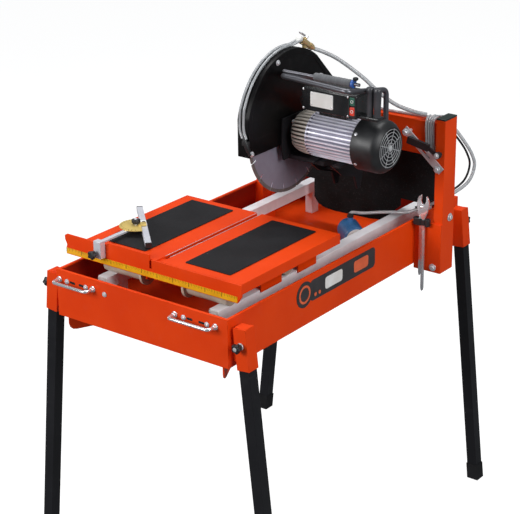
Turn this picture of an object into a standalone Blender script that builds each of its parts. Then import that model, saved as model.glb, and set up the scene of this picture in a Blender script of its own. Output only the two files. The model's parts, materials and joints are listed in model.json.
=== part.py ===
"""Masonry saw: a water tray on four tilted legs, with a sliding cart and a tilting cutting head.

Stations are in millimetres from the tray's left side (x), its front panel (y) and its rim (z).
spot() turns a station into scene metres, with the origin on the floor below the middle of the saw.
"""

import math

import bmesh
import bpy
from mathutils import Matrix, Vector

MID_X = 271.5
MID_Y = 505.65
RIM_HEIGHT = 834.0

TRAY_WIDTH = 543.0
TRAY_LENGTH = 1038.0
TRAY_DEPTH = 125.0
SHEET = 3.0
GAP = 0.3

RAIL = 30.0
RAIL_TOP = -24.0
RAIL_LEFT = (75.0, 105.0)
RAIL_RIGHT = (432.0, 462.0)
RAIL_FRONT = 72.0
RAIL_REAR = 1034.0

LEG_TILT = math.atan(0.106)
LEG_AT_SOCKET_TOP = 25.0
SOCKET_TOP = -20.0
SOCKET_BOTTOM = -125.0
SOCKET_HALF = 18.0
LEG_HALF = 15.0
FRONT_LEG_Y = 28.0
REAR_LEG_Y = 1003.0

COLUMN_FRONT = 817.0
COLUMN_REAR = 875.0
COLUMN_TOP = 287.0
COLUMN_RIGHT = (599.0, 626.0)
COLUMN_LEFT = (3.3, 30.3)
BEAM_FRONT = 832.0
BEAM_REAR = 872.0
BEAM_BOTTOM = 180.0
BEAM_TOP = 272.0

PIVOT = (812.0, 215.0)
PIN_RADIUS = 7.5
ARBOR = (621.0, 259.0)
BLADE_X = 268.0
BLADE_RADIUS = 175.0
BLADE_THICKNESS = 3.2
SEGMENTS = 18
GUARD_X = (250.0, 286.0)
GUARD_CENTRE = (607.0, 287.0)
GUARD_RADIUS = 187.0

TABLE_TOP = 56.0
TABLE_X = (22.0, 522.0)
TABLE_Y = (82.3, 490.0)
SLOT_X = (259.0, 275.0)
ROLLER_RADIUS = 21.5
AXLE_Z = RAIL_TOP + ROLLER_RADIUS + GAP
FRONT_AXLE_Y = 116.0
REAR_AXLE_Y = 351.0
MITER_PIVOT = (93.0, 200.0)

VALVE_DIRECTION = Vector((0.0, 0.857, -0.515)).normalized()
VALVE_STEM = Vector((0.0, 0.515, 0.857)).normalized()
VALVE_CENTRE = (268.0, 690.0, 472.0)

PAINT = ((0.78, 0.10, 0.015), 0.0, 0.4)
BLACK = ((0.015, 0.016, 0.018), 0.0, 0.45)
RUBBER = ((0.02, 0.02, 0.02), 0.0, 0.8)
ZINC = ((0.62, 0.63, 0.65), 1.0, 0.35)
CHROME = ((0.85, 0.85, 0.86), 1.0, 0.12)
ALUMINIUM = ((0.66, 0.67, 0.72), 1.0, 0.4)
STEEL = ((0.30, 0.29, 0.32), 1.0, 0.45)
BRASS = ((0.75, 0.55, 0.22), 1.0, 0.3)
GOLD = ((0.72, 0.60, 0.25), 1.0, 0.35)
CLEAR = ((0.70, 0.70, 0.70), 0.0, 0.3)
FOAM = ((0.17, 0.17, 0.18), 0.0, 0.9)
YELLOW = ((0.95, 0.62, 0.03), 0.0, 0.4)
BLUE = ((0.05, 0.18, 0.45), 0.0, 0.4)
GREEN = ((0.10, 0.25, 0.18), 0.0, 0.4)
RED = ((0.65, 0.06, 0.03), 0.0, 0.4)


def spot(x, y, z):
    return Vector((x - MID_X, y - MID_Y, z + RIM_HEIGHT)) * 0.001


def add_shape(bm):
    bmesh.ops.recalc_face_normals(bm, faces=bm.faces)
    mesh = bpy.data.meshes.new("shape")
    bm.to_mesh(mesh)
    bm.free()
    shape = bpy.data.objects.new("shape", mesh)
    bpy.context.scene.collection.objects.link(shape)
    return shape


def loft(rings, closed=False):
    """A solid through rings of station points. A closed loft joins its last ring to its first."""
    bm = bmesh.new()
    rows = [[bm.verts.new(spot(*point)) for point in ring] for ring in rings]
    pairs = list(zip(rows, rows[1:]))
    if closed:
        pairs.append((rows[-1], rows[0]))
    for first, second in pairs:
        for i in range(len(first)):
            j = (i + 1) % len(first)
            bm.faces.new((first[i], first[j], second[j], second[i]))
    if not closed:
        bm.faces.new(rows[0][::-1])
        bm.faces.new(rows[-1])
    return add_shape(bm)


def box(low, high):
    corners = [(low[0], low[1]), (high[0], low[1]), (high[0], high[1]), (low[0], high[1])]
    return loft([[(x, y, z) for x, y in corners] for z in (low[2], high[2])])


def prism(axis, outline, low, high):
    """An outline pushed along an axis. Its pairs are the other two coordinates, in order."""
    order = {"x": (2, 0, 1), "y": (0, 2, 1), "z": (0, 1, 2)}[axis]
    rings = []
    for w in (low, high):
        rings.append([tuple((u, v, w)[i] for i in order) for u, v in outline])
    return loft(rings)


def frame_of(direction):
    along = Vector(direction).normalized()
    helper = Vector((0, 0, 1)) if abs(along.z) < 0.9 else Vector((1, 0, 0))
    side = helper.cross(along).normalized()
    return along, side, along.cross(side)


def turned(centre, direction, profile, sides=24, closed=False, lobes=0):
    """A turned solid. Each profile entry is (distance along, radius[, lobe height])."""
    along, side, up = frame_of(direction)
    rings = []
    for entry in profile:
        lobe = entry[2] if len(entry) > 2 else 0.0
        ring = []
        for i in range(sides):
            angle = 2 * math.pi * i / sides
            radius = entry[1] + lobe * math.cos(lobes * angle)
            outward = side * math.cos(angle) + up * math.sin(angle)
            ring.append(Vector(centre) + along * entry[0] + outward * radius)
        rings.append(ring)
    return loft(rings, closed)


def sweep(points, radius, sides=8):
    """A round tube along station points."""
    points = [Vector(point) for point in points]
    along, side, up = frame_of(points[1] - points[0])
    rings = []
    for i, point in enumerate(points):
        before = points[max(i - 1, 0)]
        after = points[min(i + 1, len(points) - 1)]
        turn = along.rotation_difference((after - before).normalized())
        along, side, up = turn @ along, turn @ side, turn @ up
        ring = []
        for k in range(sides):
            angle = 2 * math.pi * k / sides
            ring.append(point + (side * math.cos(angle) + up * math.sin(angle)) * radius)
        rings.append(ring)
    return loft(rings)


def rounded(points, radius, steps=3):
    """The polyline with each inner corner replaced by a short arc."""
    points = [Vector(point) for point in points]
    path = [points[0]]
    for before, corner, after in zip(points, points[1:], points[2:]):
        start = corner + (before - corner).normalized() * radius
        end = corner + (after - corner).normalized() * radius
        for k in range(steps + 1):
            t = k / steps
            path.append(start * (1 - t) ** 2 + corner * 2 * t * (1 - t) + end * t**2)
    path.append(points[-1])
    return path


def curved(points, steps=4):
    """A smooth path through the points."""
    points = [Vector(point) for point in points]
    padded = [points[0] * 2 - points[1]] + points + [points[-1] * 2 - points[-2]]
    path = []
    for a, b, c, d in zip(padded, padded[1:], padded[2:], padded[3:]):
        for k in range(steps):
            t = k / steps
            linear = (c - a) * t
            square = (a * 2 - b * 5 + c * 4 - d) * t**2
            cube = (b * 3 - a - c * 3 + d) * t**3
            path.append((b * 2 + linear + square + cube) * 0.5)
    path.append(points[-1])
    return path


def slab(centre, length_axis, width_axis, size):
    """A block set at an angle: size is (length, width, thickness)."""
    x_axis = Vector(length_axis).normalized()
    z_axis = x_axis.cross(Vector(width_axis)).normalized()
    y_axis = z_axis.cross(x_axis)
    rings = []
    for w in (-0.5, 0.5):
        rings.append(
            [
                Vector(centre) + x_axis * size[0] * u + y_axis * size[1] * v + z_axis * size[2] * w
                for u, v in ((-0.5, -0.5), (0.5, -0.5), (0.5, 0.5), (-0.5, 0.5))
            ]
        )
    return loft(rings)


def arc(centre, radius, start, end, steps):
    """Points on an arc, in degrees."""
    points = []
    for i in range(steps + 1):
        angle = math.radians(start + (end - start) * i / steps)
        points.append((centre[0] + radius * math.cos(angle), centre[1] + radius * math.sin(angle)))
    return points


def combine(base, others, operation):
    for other in others:
        modifier = base.modifiers.new(operation, "BOOLEAN")
        modifier.operation = operation
        modifier.solver = "EXACT"
        modifier.object = other
    bpy.context.view_layer.update()
    result = base.evaluated_get(bpy.context.evaluated_depsgraph_get())
    base.data = bpy.data.meshes.new_from_object(result)
    base.modifiers.clear()
    for other in others:
        bpy.data.objects.remove(other)
    return base


def join(base, *others):
    return combine(base, others, "UNION")


def cut(base, *others):
    return combine(base, others, "DIFFERENCE")


def empty(name, station, parent=None):
    """An axis marker: the moving pieces of one assembly hang from it."""
    marker = bpy.data.objects.new(name, None)
    bpy.context.scene.collection.objects.link(marker)
    marker.location = spot(*station)
    if parent:
        marker.parent = parent
        marker.location = spot(*station) - world_place(parent)
    return marker


def world_place(marker):
    place = marker.location.copy()
    while marker.parent:
        marker = marker.parent
        place += marker.location
    return place


def finish(name, shape, look, origin, parent=None, smooth=False):
    """Names a piece, moves its origin to a station, and gives it its material."""
    shape.name = name
    shape.data.name = name
    shape.data.transform(Matrix.Translation(-spot(*origin)))
    shape.location = spot(*origin)
    if parent:
        shape.parent = parent
        shape.location = spot(*origin) - world_place(parent)
    material = bpy.data.materials.new(name)
    material.use_nodes = True
    shader = material.node_tree.nodes["Principled BSDF"]
    shader.inputs["Base Color"].default_value = (*look[0], 1.0)
    shader.inputs["Metallic"].default_value = look[1]
    shader.inputs["Roughness"].default_value = look[2]
    shape.data.materials.clear()
    shape.data.materials.append(material)
    if smooth:
        shape.data.shade_smooth()
        shape.data.set_sharp_from_angle(angle=math.radians(35))
    return shape


for thing in list(bpy.data.objects):
    bpy.data.objects.remove(thing)


def make_tray():
    shell = cut(
        box((0, 0, -TRAY_DEPTH), (TRAY_WIDTH, TRAY_LENGTH, 0)),
        box((SHEET, SHEET, SHEET - TRAY_DEPTH), (TRAY_WIDTH - SHEET, TRAY_LENGTH - SHEET, -4)),
        box((8, 8, -20), (TRAY_WIDTH - 8, TRAY_LENGTH - 8, 5)),
    )
    fins = []
    for side in (-1, 1):
        heading = Vector((-side * 0.44, 0.90, 0)).normalized()
        foot = Vector((TRAY_WIDTH / 2 + side * 248.5, 10, 0))
        across = Vector((heading.y, -heading.x, 0)) * 2
        profile = [(0, -123.2), (0, -148), (3, -158), (10, -164), (20, -166), (85, -166), (85, -123.2)]
        outline = [foot + heading * s + Vector((0, 0, z)) for s, z in profile]
        fins.append(loft([[point - across for point in outline], [point + across for point in outline]]))
    return join(shell, *fins)


finish("tray", make_tray(), PAINT, (MID_X, MID_Y, -TRAY_DEPTH))

for name, (left, right) in (("rail_left", RAIL_LEFT), ("rail_right", RAIL_RIGHT)):
    tube = cut(
        box((left, RAIL_FRONT, RAIL_TOP - RAIL), (right, RAIL_REAR, RAIL_TOP)),
        box((left + 2, RAIL_FRONT + 4, RAIL_TOP - RAIL + 2), (right - 2, RAIL_REAR + 5, RAIL_TOP - 2)),
    )
    low = SHEET + GAP - TRAY_DEPTH
    high = RAIL_TOP - RAIL + 1
    posts = [box((left + 3, y, low), (right - 3, y + 30, high)) for y in (120, 960)]
    finish(name, join(tube, *posts), ZINC, (left + RAIL / 2, MID_Y, RAIL_TOP))

for name, left, right in (("grab_bar_left", 10, 122), ("grab_bar_right", 384, 507)):
    route = [(left, -GAP, -25), (left, -28, -25), (right, -28, -25), (right, -GAP, -25)]
    finish(name, sweep(rounded(route, 11), 4, 10), CHROME, ((left + right) / 2, 0, -25), smooth=True)


def leg_x(side, z):
    """Where a leg's centre line is at a height."""
    out = LEG_AT_SOCKET_TOP + (SOCKET_TOP - z) * math.tan(LEG_TILT)
    return TRAY_WIDTH + out if side > 0 else -out


def leg_outline(side, half, top, bottom):
    """The side view of a square tube on a leg's line, with its ends cut square to it."""
    out = Vector((side * math.cos(LEG_TILT), math.sin(LEG_TILT))) * half
    high = Vector((leg_x(side, top), top))
    low = Vector((leg_x(side, bottom), bottom))
    return [tuple(high - out), tuple(high + out), tuple(low + out), tuple(low - out)]


def leg_tube(side, y, half, top, bottom):
    return prism("y", leg_outline(side, half, top, bottom), y - half, y + half)


OUT_AND_UP = (-math.cos(LEG_TILT), 0, math.sin(LEG_TILT))
FORWARD = (0, -1, 0)
BACKWARD = (0, 1, 0)
CORNERS = (
    ("front_left", -1, FRONT_LEG_Y, OUT_AND_UP),
    ("front_right", 1, FRONT_LEG_Y, FORWARD),
    ("rear_left", -1, REAR_LEG_Y, BACKWARD),
    ("rear_right", 1, REAR_LEG_Y, BACKWARD),
)
KNOB_PROFILE = ((0, 3.5), (9, 3.5), (9, 9.5, 1.2), (11, 11, 1.8), (20, 11, 1.8), (22, 9.5, 1.2))

for corner, side, y, knob_direction in CORNERS:
    wall = TRAY_WIDTH + GAP if side > 0 else -GAP
    wedge = [(wall, -45), (leg_x(side, -45) - side * 16, -45)]
    wedge += [(leg_x(side, -110) - side * 16, -110), (wall, -110)]
    socket = join(
        leg_tube(side, y, SOCKET_HALF, SOCKET_TOP, SOCKET_BOTTOM),
        prism("y", wedge, y - 10, y + 10),
    )
    socket = cut(
        socket,
        leg_tube(side, y, LEG_HALF + 0.5, SOCKET_TOP - 3, SOCKET_BOTTOM - 5),
        leg_tube(side, y, 12, SOCKET_TOP + 5, SOCKET_TOP - 10),
    )
    finish("socket_" + corner, socket, PAINT, (leg_x(side, SOCKET_TOP), y, SOCKET_TOP))

    leg_top = SOCKET_TOP - 3.4
    slider = empty("axis_leg_" + corner, (leg_x(side, leg_top), y, leg_top))
    leg = cut(
        leg_tube(side, y, LEG_HALF, leg_top, 9 - RIM_HEIGHT),
        leg_tube(side, y, LEG_HALF - 2, leg_top + 5, -RIM_HEIGHT),
    )
    finish("leg_" + corner, leg, BLACK, (leg_x(side, leg_top), y, leg_top), slider)

    low_x = leg_x(side, -RIM_HEIGHT)
    high_x = leg_x(side, 46 - RIM_HEIGHT)
    foot_top = 46 - RIM_HEIGHT
    sole = [(low_x - 17, -RIM_HEIGHT), (low_x + 17, -RIM_HEIGHT)]
    sole += [(high_x + 17, foot_top), (high_x - 17, foot_top)]
    pocket = leg_tube(side, y, LEG_HALF + 0.3, 60 - RIM_HEIGHT, 8 - RIM_HEIGHT)
    foot = cut(prism("y", sole, y - 17, y + 17), pocket)
    finish("foot_" + corner, foot, RUBBER, (low_x, y, -RIM_HEIGHT), slider)

    centre = Vector((leg_x(side, -62), y, -62)) + Vector(knob_direction) * (SOCKET_HALF + GAP)
    knob = turned(centre, knob_direction, KNOB_PROFILE, 30, lobes=5)
    finish("clamp_knob_" + corner, knob, BLACK, centre, smooth=True)


def make_right_column():
    left, right = COLUMN_RIGHT
    tube = join(
        box((left, COLUMN_FRONT, -138), (right, COLUMN_REAR, COLUMN_TOP)),
        box((TRAY_WIDTH + GAP, COLUMN_FRONT - 5, -138), (right, COLUMN_FRONT + 1, 0)),
        box((TRAY_WIDTH + GAP, COLUMN_FRONT - 5, -138), (TRAY_WIDTH + 5, COLUMN_REAR, 0)),
    )
    inside = box((left + 2.5, COLUMN_FRONT + 2.5, -150), (right - 2.5, COLUMN_REAR - 2.5, COLUMN_TOP - 3))
    return cut(tube, inside)


def make_left_column():
    """It stands on the tray floor, and steps in where it passes the rim."""
    left, right = COLUMN_LEFT
    tube = join(
        box((left, COLUMN_FRONT, SHEET + GAP - TRAY_DEPTH), (right, COLUMN_REAR, -4 - GAP)),
        box((8 + GAP, COLUMN_FRONT, -10), (right, COLUMN_REAR, COLUMN_TOP)),
    )
    inside_low = (8 + GAP + 2.5, COLUMN_FRONT + 2.5, -TRAY_DEPTH)
    inside = box(inside_low, (right - 2.5, COLUMN_REAR - 2.5, COLUMN_TOP - 3))
    return cut(tube, inside)


def make_beam():
    """The beam, its two lugs and the pin that the head swings on."""
    left = COLUMN_LEFT[1] + GAP
    right = COLUMN_RIGHT[0] - GAP
    beam = box((left, BEAM_FRONT, BEAM_BOTTOM), (right, BEAM_REAR, BEAM_TOP))
    hollow = box((left - 1, BEAM_FRONT + 3, BEAM_BOTTOM + 3), (right + 1, BEAM_REAR - 3, BEAM_TOP - 3))
    lug = [(833, 197), (806, 201), (799, 208), (799, 222), (806, 229), (833, 240)]
    return join(
        cut(beam, hollow),
        prism("x", lug, 300, 308),
        prism("x", lug, 442, 450),
        turned((301, *PIVOT), (1, 0, 0), ((0, PIN_RADIUS), (148, PIN_RADIUS)), 24),
    )


def make_curtain():
    """A hanging sheet between the rails, wider above them, with a shelf that fixes it behind the beam."""
    hem = [(538, 2), (425, 2), (425, -20), (403, -40), (390, -62), (365, -74), (330, -79), (206, -82)]
    hem += [(171, -79), (146, -70), (133, -52), (133, 2), (12, 2), (12, 200), (538, 200)]
    sheet = prism("y", hem[::-1], 927, 930)
    return join(sheet, box((34, BEAM_REAR + GAP, 197), (538, 928, 200)))


finish("column_right", make_right_column(), PAINT, (612.5, 846, -138))
finish("column_left", make_left_column(), PAINT, (17, 846, -121.7))
finish("crossbeam", make_beam(), PAINT, (300, BEAM_FRONT, BEAM_BOTTOM))
finish("curtain", make_curtain(), RUBBER, (MID_X, 928, 200))


def make_pump():
    centre = Vector((306, 845, -86))
    forward = Vector((0.75, -0.66, 0))
    profile = ((0, 27), (4, 32), (72, 32), (72, 28), (76, 28), (76, 33.5), (88, 33.5), (91, 30))
    body = turned(centre, forward, profile, 24)
    foot = box((315, 795, SHEET + GAP - TRAY_DEPTH), (355, 830, -100))
    outlet = turned((325, 828, -62), (0, 0, 1), ((0, 8), (22, 8)), 12)
    return join(body, foot, outlet)


finish("pump", make_pump(), BLUE, (340, 815, -121.7), smooth=True)

ring_out = [(822, 165), (829, 158), (875, 158), (882, 165), (882, 283), (875, 290), (829, 290), (822, 283)]
ring_in = [(829.5, 172), (833, 168), (871, 168), (874.5, 172)]
ring_in += [(874.5, 277), (871, 281), (833, 281), (829.5, 277)]
coil = cut(prism("x", ring_out, 556, 597), prism("x", ring_in, 550, 600))
finish("hose_coil", coil, CLEAR, (577, 852, 290))

supply_route = [(585, 888, 262), (603, 906, 240), (620, 929, 202), (631, 950, 165), (634, 962, 128)]
supply_route += [(626, 946, 86), (598, 908, 55), (562, 884, 32), (525, 868, 12), (487, 860, -6)]
supply_route += [(447, 856, -12), (405, 850, -20), (362, 838, -28), (330, 829, -30), (325, 828, -39)]
finish("hose_supply", sweep(curved(supply_route, 3), 4.5, 8), CLEAR, supply_route[0], smooth=True)

large = [(573, -186), (573, 14.4), (559, 36.4), (557, 57.4), (562, 74.4), (570, 79.4), (569, 60.4)]
large += [(577, 52.4), (584, 62.4), (585, 77.4), (591, 68.4), (593, 52.4), (590, 36.4), (581, 14.4)]
large += [(581, -186), (577, -195)]
small = [(560, -146), (560, 14.4), (555, 22), (555, 34), (560, 38), (561, 28), (567, 28), (568, 38)]
small += [(573, 34), (573, 22), (568, 14.4), (568, -146), (564, -155)]
holder = cut(
    box((546, 796, -8), (596, 811.7, 14)),
    box((572.4, 799.4, -20), (581.6, 805.6, 30)),
    box((559.4, 807, -20), (568.6, 810.6, 30)),
)
finish("tool_holder", holder, BLACK, (571, 811, 3))
finish("wrench_large", prism("y", large, 799.7, 805.3), CHROME, (577, 802.5, 14))
finish("wrench_small", prism("y", small, 807.3, 810.3), CHROME, (564, 808.8, 14))


def make_depth_strip():
    upper = Vector((513, 812.5, 241))
    lower = Vector((612, 812.5, 157))
    along = (lower - upper).normalized()
    strip = slab((upper + lower) / 2, along, (0, 1, 0), ((lower - upper).length + 22, 3, 21))
    slot = slab((upper + lower) / 2, along, (0, 1, 0), (58, 8, 6))
    head_front = -8
    upper_pin = ((0, 6), (6, 6), (6, 4.5), (BEAM_FRONT - GAP - 812.5 - head_front, 4.5))
    lower_pin = ((0, 6), (6, 6), (6, 4.5), (COLUMN_FRONT - GAP - 812.5 - head_front, 4.5))
    pins = [
        turned(upper + Vector((0, head_front, 0)), (0, 1, 0), upper_pin, 12),
        turned(lower + Vector((0, head_front, 0)), (0, 1, 0), lower_pin, 12),
    ]
    return join(cut(strip, slot), *pins)


def make_depth_lever():
    hub = Vector((613, 816.7, 196))
    elbow = Vector((583, 803, 212))
    grip_end = Vector((524, 803, 223))
    hub_front = hub + Vector((0, -13.7, 0))
    link = slab((hub_front + elbow) / 2, elbow - hub_front, (0, 1, 0), (40, 5, 10))
    grip = slab((elbow + grip_end) / 2, grip_end - elbow, (0, 1, 0), (66, 9, 19))
    return join(turned(hub, (0, -1, 0), ((0, 6), (7, 6), (7, 9), (17, 9), (19, 7)), 20), link, grip)


finish("depth_strip", make_depth_strip(), ZINC, (562, 812.5, 199))
finish("depth_lever", make_depth_lever(), BLACK, (613, 816.7, 196))


cart = empty("axis_cart", (MID_X, 286, TABLE_TOP))


def make_table():
    low_x, high_x = TABLE_X
    low_y, high_y = TABLE_Y
    pieces = []
    for left, right, lip in ((low_x, SLOT_X[0], SLOT_X[0] - 4), (SLOT_X[1], high_x, SLOT_X[1])):
        pieces.append(box((left, low_y, TABLE_TOP - 5), (right, high_y, TABLE_TOP)))
        pieces.append(box((lip, 110, 40), (lip + 4, high_y, TABLE_TOP - 1)))
        pieces.append(box((left + 0.5, high_y - 4, 38), (right - 0.5, high_y, TABLE_TOP - 1)))
    pieces.append(box((low_x, low_y, 30), (low_x + 4, high_y, TABLE_TOP - 1)))
    pieces.append(box((high_x - 4, low_y, 30), (high_x, high_y, TABLE_TOP - 1)))
    pieces.append(box((low_x, 86, 30), (high_x, 112, TABLE_TOP - 4)))
    for edge in (RAIL_LEFT[0] - 4.4, RAIL_RIGHT[1] + 0.4):
        plate = [(231, 53), (231, -29), (316, -29), (316, 25), (386, 25), (386, -29), (464, -29), (464, 53)]
        pieces.append(prism("x", plate, edge, edge + 4))
    hanger = [(-17, 53), (-17, -10), (-8, -16), (8, -16), (17, -10), (17, 53)]
    for y, places in ((FRONT_AXLE_Y, (208, 324)), (REAR_AXLE_Y, (113, 419))):
        for x in places:
            pieces.append(prism("x", [(y + u, v) for u, v in hanger], x, x + 5))
    bores = [
        turned((150, FRONT_AXLE_Y, AXLE_Z), (1, 0, 0), ((0, 8.4), (230, 8.4)), 24),
        turned((100, REAR_AXLE_Y, AXLE_Z), (1, 0, 0), ((0, 8.4), (340, 8.4)), 24),
    ]
    return cut(join(*pieces), *bores)


def make_front_plate():
    edge = [(-36, 8), (513, 8), (525, 26), (525, 55.7), (248, 55.7), (248, 32), (241, 32), (241, 68)]
    edge += [(108, 68), (108, 61), (-34, 61), (-40, 57), (-39, 46), (-33, 34), (-36, 25)]
    return prism("y", edge, 77, 82)


finish("table", make_table(), PAINT, (MID_X, 286, TABLE_TOP), cart)
finish("front_plate", make_front_plate(), PAINT, (MID_X, 79.5, 8), cart)
finish("ruler", box((-35, 75.5, 10), (513, 76.7, 25)), YELLOW, (239, 76.7, 17.5), cart)
finish("pad_left", box((59, 111, TABLE_TOP + GAP), (200, 465, 58.4)), RUBBER, (129.5, 288, TABLE_TOP), cart)
finish("pad_right", box((327, 111, TABLE_TOP + GAP), (466, 465, 58.4)), RUBBER, (396.5, 288, TABLE_TOP), cart)

front_spool = [(72, 21.5), (197, 21.5), (197, 30), (205, 30), (205, 8), (332, 8), (332, 30), (340, 30)]
front_spool += [(340, 21.5), (465, 21.5)]
rear_spool = [(76, 21.5), (105.5, 21.5), (106, 28), (111, 28), (111, 8), (426, 8), (426, 28), (431, 28)]
rear_spool += [(431.5, 21.5), (460, 21.5)]
for name, profile, y in (
    ("roller_front", front_spool, FRONT_AXLE_Y),
    ("roller_rear", rear_spool, REAR_AXLE_Y),
):
    roller = turned((0, y, AXLE_Z), (1, 0, 0), profile, 28)
    finish(name, roller, ZINC, (MID_X, y, AXLE_Z), cart, smooth=True)

slide = empty("axis_miter_slide", (93, 66, 50), cart)
swing = empty("axis_miter_swing", (*MITER_PIVOT, 74), slide)
clamp = join(
    box((76, 58, 29), (99, 76.4 - GAP - 0.9, 73.4)),
    box((87, 56, 68.6), (99, MITER_PIVOT[1], 73.4)),
    turned((*MITER_PIVOT, 68.6), (0, 0, 1), ((0, 6), (4.8, 6), (4.8, 3.5), (12, 3.5)), 16),
)
finish("miter_clamp", clamp, ALUMINIUM, (93, 66, 50), slide)
screw_profile = ((0, 3), (7, 3), (7, 9, 1.2), (9, 10.5, 1.8), (17, 10.5, 1.8), (19, 9, 1.2))
screw = turned((82, 57.7, 41), (0, -1, 0), screw_profile, 30, lobes=5)
finish("miter_knob", screw, BLACK, (82, 57.7, 41), slide, smooth=True)

ALONG_FENCE = Vector((191, -187, 0)).normalized()
TO_FENCE = Vector((-ALONG_FENCE.y, ALONG_FENCE.x, 0))
half_disc = [tuple((Vector((*MITER_PIVOT, 0)) + TO_FENCE * 12 + ALONG_FENCE * s)[:2]) for s in (43, -43)]
back = math.degrees(math.atan2(-ALONG_FENCE.y, -ALONG_FENCE.x))
half_disc += arc(MITER_PIVOT, 43, back, back + 180, 16)
bridge = slab(Vector((*MITER_PIVOT, 76.6)) + TO_FENCE * 16, TO_FENCE, ALONG_FENCE, (20, 18, 5))
protractor = cut(
    join(prism("z", half_disc, 73.8, 75.8), bridge),
    turned((*MITER_PIVOT, 70), (0, 0, 1), ((0, 4), (15, 4)), 16),
)
finish("miter_protractor", protractor, GOLD, (*MITER_PIVOT, 74), swing)
fence_centre = Vector(((6 + 197) / 2, (314 + 127) / 2, 66.5))
fence = slab(fence_centre, ALONG_FENCE, TO_FENCE, (267, 15.4, 13.6))
finish("miter_fence", fence, ALUMINIUM, (*MITER_PIVOT, 66), swing)
cap = ((0, 9, 1), (2, 10, 1.6), (10, 10, 1.6), (12, 8, 1))
pivot_knob = cut(
    turned((*MITER_PIVOT, 79.6), (0, 0, 1), cap, 30, lobes=5),
    turned((*MITER_PIVOT, 78), (0, 0, 1), ((0, 4), (4, 4)), 16),
)
finish("miter_pivot_knob", pivot_knob, BLACK, (*MITER_PIVOT, 79.6), slide, smooth=True)


head = empty("axis_head", (375, *PIVOT))
spindle = empty("axis_spindle", (BLADE_X, *ARBOR), head)


def make_arm():
    side = [(585, 197), (585, 186), (625, 176), (675, 136), (736, 114), (750, 76), (764, 76), (774, 120)]
    side += [(800, 190), (824, 208), (824, 222), (812, 229), (780, 222), (700, 197)]
    mount = [(565, 187), (700, 187), (706, 215), (706, 285), (690, 300), (560, 300), (556, 230)]
    arm = join(
        box((287, 585, 187), (404, 700, 198.5)),
        prism("x", side, 322, 328),
        prism("x", side, 394, 400),
        prism("x", mount, 287, 292),
        turned((309, *PIVOT), (1, 0, 0), ((0, 14), (132, 14)), 28),
        prism("x", [(700, 135), (738, 118), (740, 124), (702, 141)], 325, 397),
    )
    return cut(
        arm,
        turned((300, *PIVOT), (1, 0, 0), ((0, PIN_RADIUS + 0.4), (160, PIN_RADIUS + 0.4)), 24),
        turned((280, *ARBOR), (1, 0, 0), ((0, 26), (20, 26)), 28),
    )


def guard_outline(inset):
    front = 424 + inset
    radius = GUARD_RADIUS - inset
    start = math.degrees(math.acos((front - GUARD_CENTRE[0]) / radius))
    points = [(front, 228)]
    points += arc(GUARD_CENTRE, radius, start, 52, 18)
    points += [(804 - inset * 1.2, 351 - inset * 0.6), (800 - inset, 228)]
    return points


def make_guard():
    inside = guard_outline(3)
    inside = [(inside[0][0], 200)] + inside[1:-1] + [(inside[-1][0], 200)]
    return cut(
        prism("x", guard_outline(0), *GUARD_X),
        prism("x", inside, GUARD_X[0] + 3, GUARD_X[1] - 3),
        turned((280, *ARBOR), (1, 0, 0), ((0, 24), (20, 24)), 24),
    )


def make_blade():
    edge = []
    for i in range(SEGMENTS):
        start = 360 / SEGMENTS * i
        edge += arc(ARBOR, BLADE_RADIUS, start + 0.6, start + 360 / SEGMENTS - 0.6, 3)
        edge += arc(ARBOR, BLADE_RADIUS - 12, start + 360 / SEGMENTS - 0.6, start + 360 / SEGMENTS + 0.6, 1)
    disc = prism("x", edge, BLADE_X - BLADE_THICKNESS / 2, BLADE_X + BLADE_THICKNESS / 2)
    return cut(disc, turned((260, *ARBOR), (1, 0, 0), ((0, 12.7), (20, 12.7)), 24))


def make_arbor():
    profile = [(255, 11), (259, 13), (259, 42), (264, 44), (266.1, 44), (266.1, 12.2), (269.9, 12.2)]
    profile += [(269.9, 44), (272, 44), (277, 30), (279, 18), (304, 18), (304, 12), (362, 12), (362, 45)]
    profile += [(470, 45), (470, 9), (540, 9)]
    return turned((0, *ARBOR), (1, 0, 0), profile, 28)


def make_motor():
    ribs = []
    for i in range(30):
        start = 12 * i
        ribs += arc(ARBOR, 60, start, start + 5, 1)
        ribs += arc(ARBOR, 54.5, start + 6.5, start + 10.5, 1)
    return cut(
        join(
            prism("x", ribs, 345, 484),
            turned((305, *ARBOR), (1, 0, 0), ((0, 30), (4, 47), (20, 58), (42, 58)), 30),
        ),
        turned((352, *ARBOR), (1, 0, 0), ((0, 48), (140, 48)), 28),
        turned((296, *ARBOR), (1, 0, 0), ((0, 20), (12, 20)), 24),
        turned((300, *ARBOR), (1, 0, 0), ((0, 13), (60, 13)), 24),
    )


def make_fan_cover():
    shell = [(475, 60.6), (475, 69), (562, 69), (572, 66), (585, 54), (585, 50), (580, 50), (568, 62)]
    shell += [(560, 65.5), (479, 65.5), (479, 60.6)]
    rings = []
    for radius in (12, 25, 38):
        ring = ((581, radius - 1.3), (581, radius + 1.3), (584, radius + 1.3), (584, radius - 1.3))
        rings.append(turned((0, *ARBOR), (1, 0, 0), ring, 24, closed=True))
    for along, across in (((0, 1, 0), (0, 0, 1)), ((0, 0, 1), (0, 1, 0))):
        rings.append(slab((582.5, *ARBOR), along, across, (104, 2.6, 2.6)))
    return join(turned((0, *ARBOR), (1, 0, 0), shell, 32, closed=True), *rings)


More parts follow.
